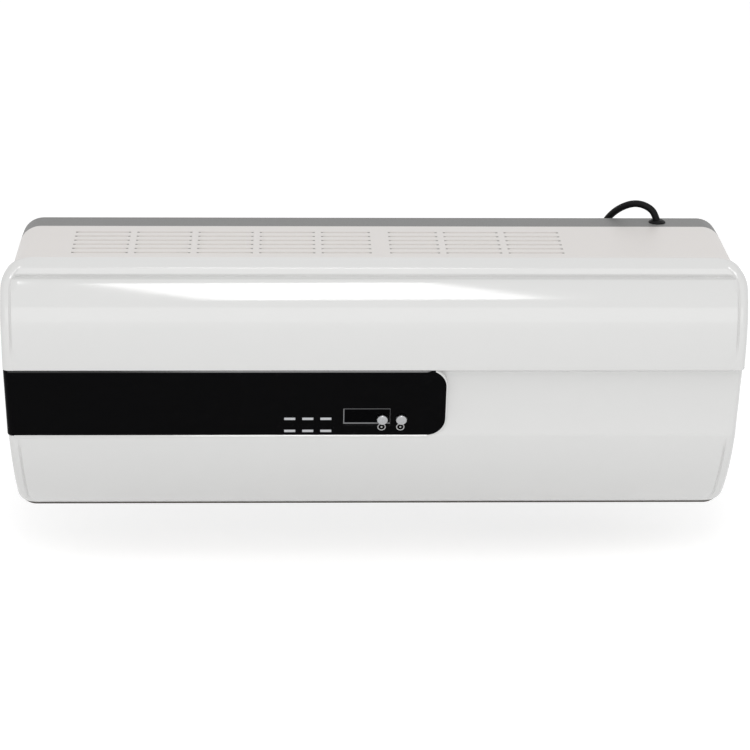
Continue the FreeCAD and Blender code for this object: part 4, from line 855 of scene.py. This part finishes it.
# PVC sheath: extruded, so it is matt with a faint waviness
sheath = moulded(
    "pvc_sheath_black", "#080809", rough=0.5, grain=2 * MM, depth=0.05 * MM, mottle=0.15,
    Specular_IOR_Level=0.15,
)
rounded_piece("cord_gland", "gland_sleeve", GLAND_EDGE, sheath, "heater")
rounded_piece("inner_cord", "inner_lead", INNER_EDGE, sheath, "heater")
tie = rounded_piece("cord_tie", "tie_strap", TIE_EDGE, dark_nylon, "heater")
plug = rounded_piece("mains_plug", "plug_body", PLUG_EDGE, sheath, "heater", 4)
# Nickel-plated brass: a warm bright metal with fine lines drawn along the pins
nickel = moulded(
    "nickel_plated", "#cbc8c0", rough=0.2, grain=0.5 * MM, depth=0.01 * MM, mottle=0.05,
    stretch=(1, 1, 0.04), Metallic=1.0,
)
pins = rounded_piece("plug_pins", "plug_pin_pair", PIN_EDGE, nickel, "heater")
cord_points = [GLAND_MOUTH + Vector(point) * MM for point in LEAD_POINTS]
coil_radius = COIL_OUTER
for half in range(HALF_TURNS_IN + 1 + HALF_TURNS_OUT):
    following = coil_radius + (-1 if half < HALF_TURNS_IN else 1) * COIL_PITCH / 2
    for step in range(HALF_TURN_STEPS):
        share = step / HALF_TURN_STEPS
        angle = -math.pi * (half + share)
        spoke = coil_radius + (following - coil_radius) * share
        climb = COIL_PITCH * fade(half + share, HALF_TURNS_IN, HALF_TURNS_IN + 1)
        cord_points.append(COIL_MIDDLE + Vector((spoke * math.cos(angle), climb, spoke * math.sin(angle))))
    coil_radius = following
cord_points.append(COIL_END)
cord_points += [COIL_END + Vector(point) * MM for point in PLUG_POINTS]
route = bpy.data.curves.new("supply_cord", "CURVE")
route.dimensions = "3D"
route.bevel_depth = CORD_RADIUS
route.bevel_resolution = CORD_SMOOTH
route.resolution_u = CORD_SMOOTH
route.use_fill_caps = True
spline = route.splines.new("NURBS")
spline.points.add(len(cord_points) - 1)
for point, where in zip(spline.points, cord_points):
    point.co = (*where, 1)
spline.order_u = 3
spline.use_endpoint_u = True
cord = bpy.data.objects.new("supply_cord", route)
bpy.context.scene.collection.objects.link(cord)
cord.data.materials.append(sheath)
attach(cord, "heater")
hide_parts("supply_lead", "cord_coil", "plug_lead")

# Stage and light
# A pale floor a little below the heater and a white surround. A soft box in front and above gives the long
# gleam on the upper field, and a wide fill board in front lights the slant and the foot.
FLOOR = -0.227
FLOOR_SIZE = 14
FLOOR_BACK = 2
FLOOR_LIFT = 0.34
SURROUND_LIGHT = 0.68
WHITE = (1, 1, 1, 1)


def seen_ray(tree):
    """Is 1 where the camera, a mirror or a lens looks, and 0 for the light that falls on the heater."""
    ray = add_node(tree, "ShaderNodeLightPath")
    seen = ray.outputs["Is Camera Ray"]
    for kind in ("Is Glossy Ray", "Is Transmission Ray"):
        either = add_node(tree, "ShaderNodeMath", {"operation": "MAXIMUM"})
        tree.links.new(seen, either.inputs[0])
        tree.links.new(ray.outputs[kind], either.inputs[1])
        seen = either.outputs["Value"]
    return seen


floor = start_piece(
    "floor", bpy.ops.mesh.primitive_plane_add, size=FLOOR_SIZE, location=(0, FLOOR_BACK, FLOOR),
)
# Painted board: white and dull. Where it is looked at, it is lifted to the white of the surround.
board, tree, shader = new_material(
    "board_painted_white", Base_Color=linear("#fbfbfb"), Roughness=0.9,
)
lift = add_node(tree, "ShaderNodeEmission", {"Color": WHITE, "Strength": FLOOR_LIFT})
lit = add_node(tree, "ShaderNodeAddShader")
tree.links.new(shader.outputs["BSDF"], lit.inputs[0])
tree.links.new(lift.outputs["Emission"], lit.inputs[1])
choice = add_node(tree, "ShaderNodeMixShader", Fac=seen_ray(tree))
tree.links.new(shader.outputs["BSDF"], choice.inputs[1])
tree.links.new(lit.outputs["Shader"], choice.inputs[2])
# From below the floor is clear, so that the underside can be looked at
clear = add_node(tree, "ShaderNodeBsdfTransparent")
facing = add_node(tree, "ShaderNodeNewGeometry")
one_way = add_node(tree, "ShaderNodeMixShader", Fac=facing.outputs["Backfacing"])
tree.links.new(choice.outputs["Shader"], one_way.inputs[1])
tree.links.new(clear.outputs["BSDF"], one_way.inputs[2])
tree.links.new(one_way.outputs["Shader"], tree.nodes["Material Output"].inputs["Surface"])
dress(floor, board)
world = bpy.data.worlds.new("studio")
bpy.context.scene.world = world
world.use_nodes = True
surround = world.node_tree.nodes["Background"]
surround.inputs["Color"].default_value = WHITE
strength = add_node(
    world.node_tree, "ShaderNodeMapRange", {"To Min": SURROUND_LIGHT, "To Max": 1.0},
    Value=seen_ray(world.node_tree),
)
world.node_tree.links.new(strength.outputs["Result"], surround.inputs["Strength"])
for name, stand, aim, roll, size, power in (
    ("key_box", (-0.015, -1.616, 1.652), (-0.015, -0.13, 0.03), 10, (0.58, 1.14), 11.3),
    ("fill_board", (0, -2.6, 0.36), (0, -0.1, -0.05), 0, (2.5, 1.1), 7.0),
):
    lamp = bpy.data.lights.new(name, "AREA")
    lamp.shape = "RECTANGLE"
    lamp.size, lamp.size_y = size
    lamp.energy = power
    box = bpy.data.objects.new(name, lamp)
    bpy.context.scene.collection.objects.link(box)
    box.location = stand
    box.rotation_euler = (Vector(aim) - Vector(stand)).to_track_quat("-Z", "Y").to_euler()
    box.rotation_euler.rotate_axis("Z", math.radians(roll))
bpy.context.scene.view_settings.view_transform = "Standard"

# Camera
# A long lens a little above and to the left of the heater's middle, turned by a fraction of a degree.
# Its place was fitted to the slots, the lip, the crease and the outline in the photograph.
CAMERA_PLACE = Vector((-0.0713, -2.0142, 0.5977))
CAMERA_AIM = Vector((0.0019, -0.0670, -0.0581))
CAMERA_ROLL = math.radians(0.654)
lens = bpy.data.cameras.new("camera")
lens.lens = 120.5
lens.sensor_width = 36.0
lens.clip_end = 50
camera = bpy.data.objects.new("camera", lens)
bpy.context.scene.collection.objects.link(camera)
forward = (CAMERA_AIM - CAMERA_PLACE).normalized()
level = forward.cross(Vector((0, 0, 1))).normalized()
upright = level.cross(forward)
rolled_level = math.cos(CAMERA_ROLL) * level + math.sin(CAMERA_ROLL) * upright
rolled_upright = math.cos(CAMERA_ROLL) * upright - math.sin(CAMERA_ROLL) * level
turn = Matrix((rolled_level, rolled_upright, -forward)).transposed()
camera.matrix_world = Matrix.Translation(CAMERA_PLACE) @ turn.to_4x4()
bpy.context.scene.camera = camera
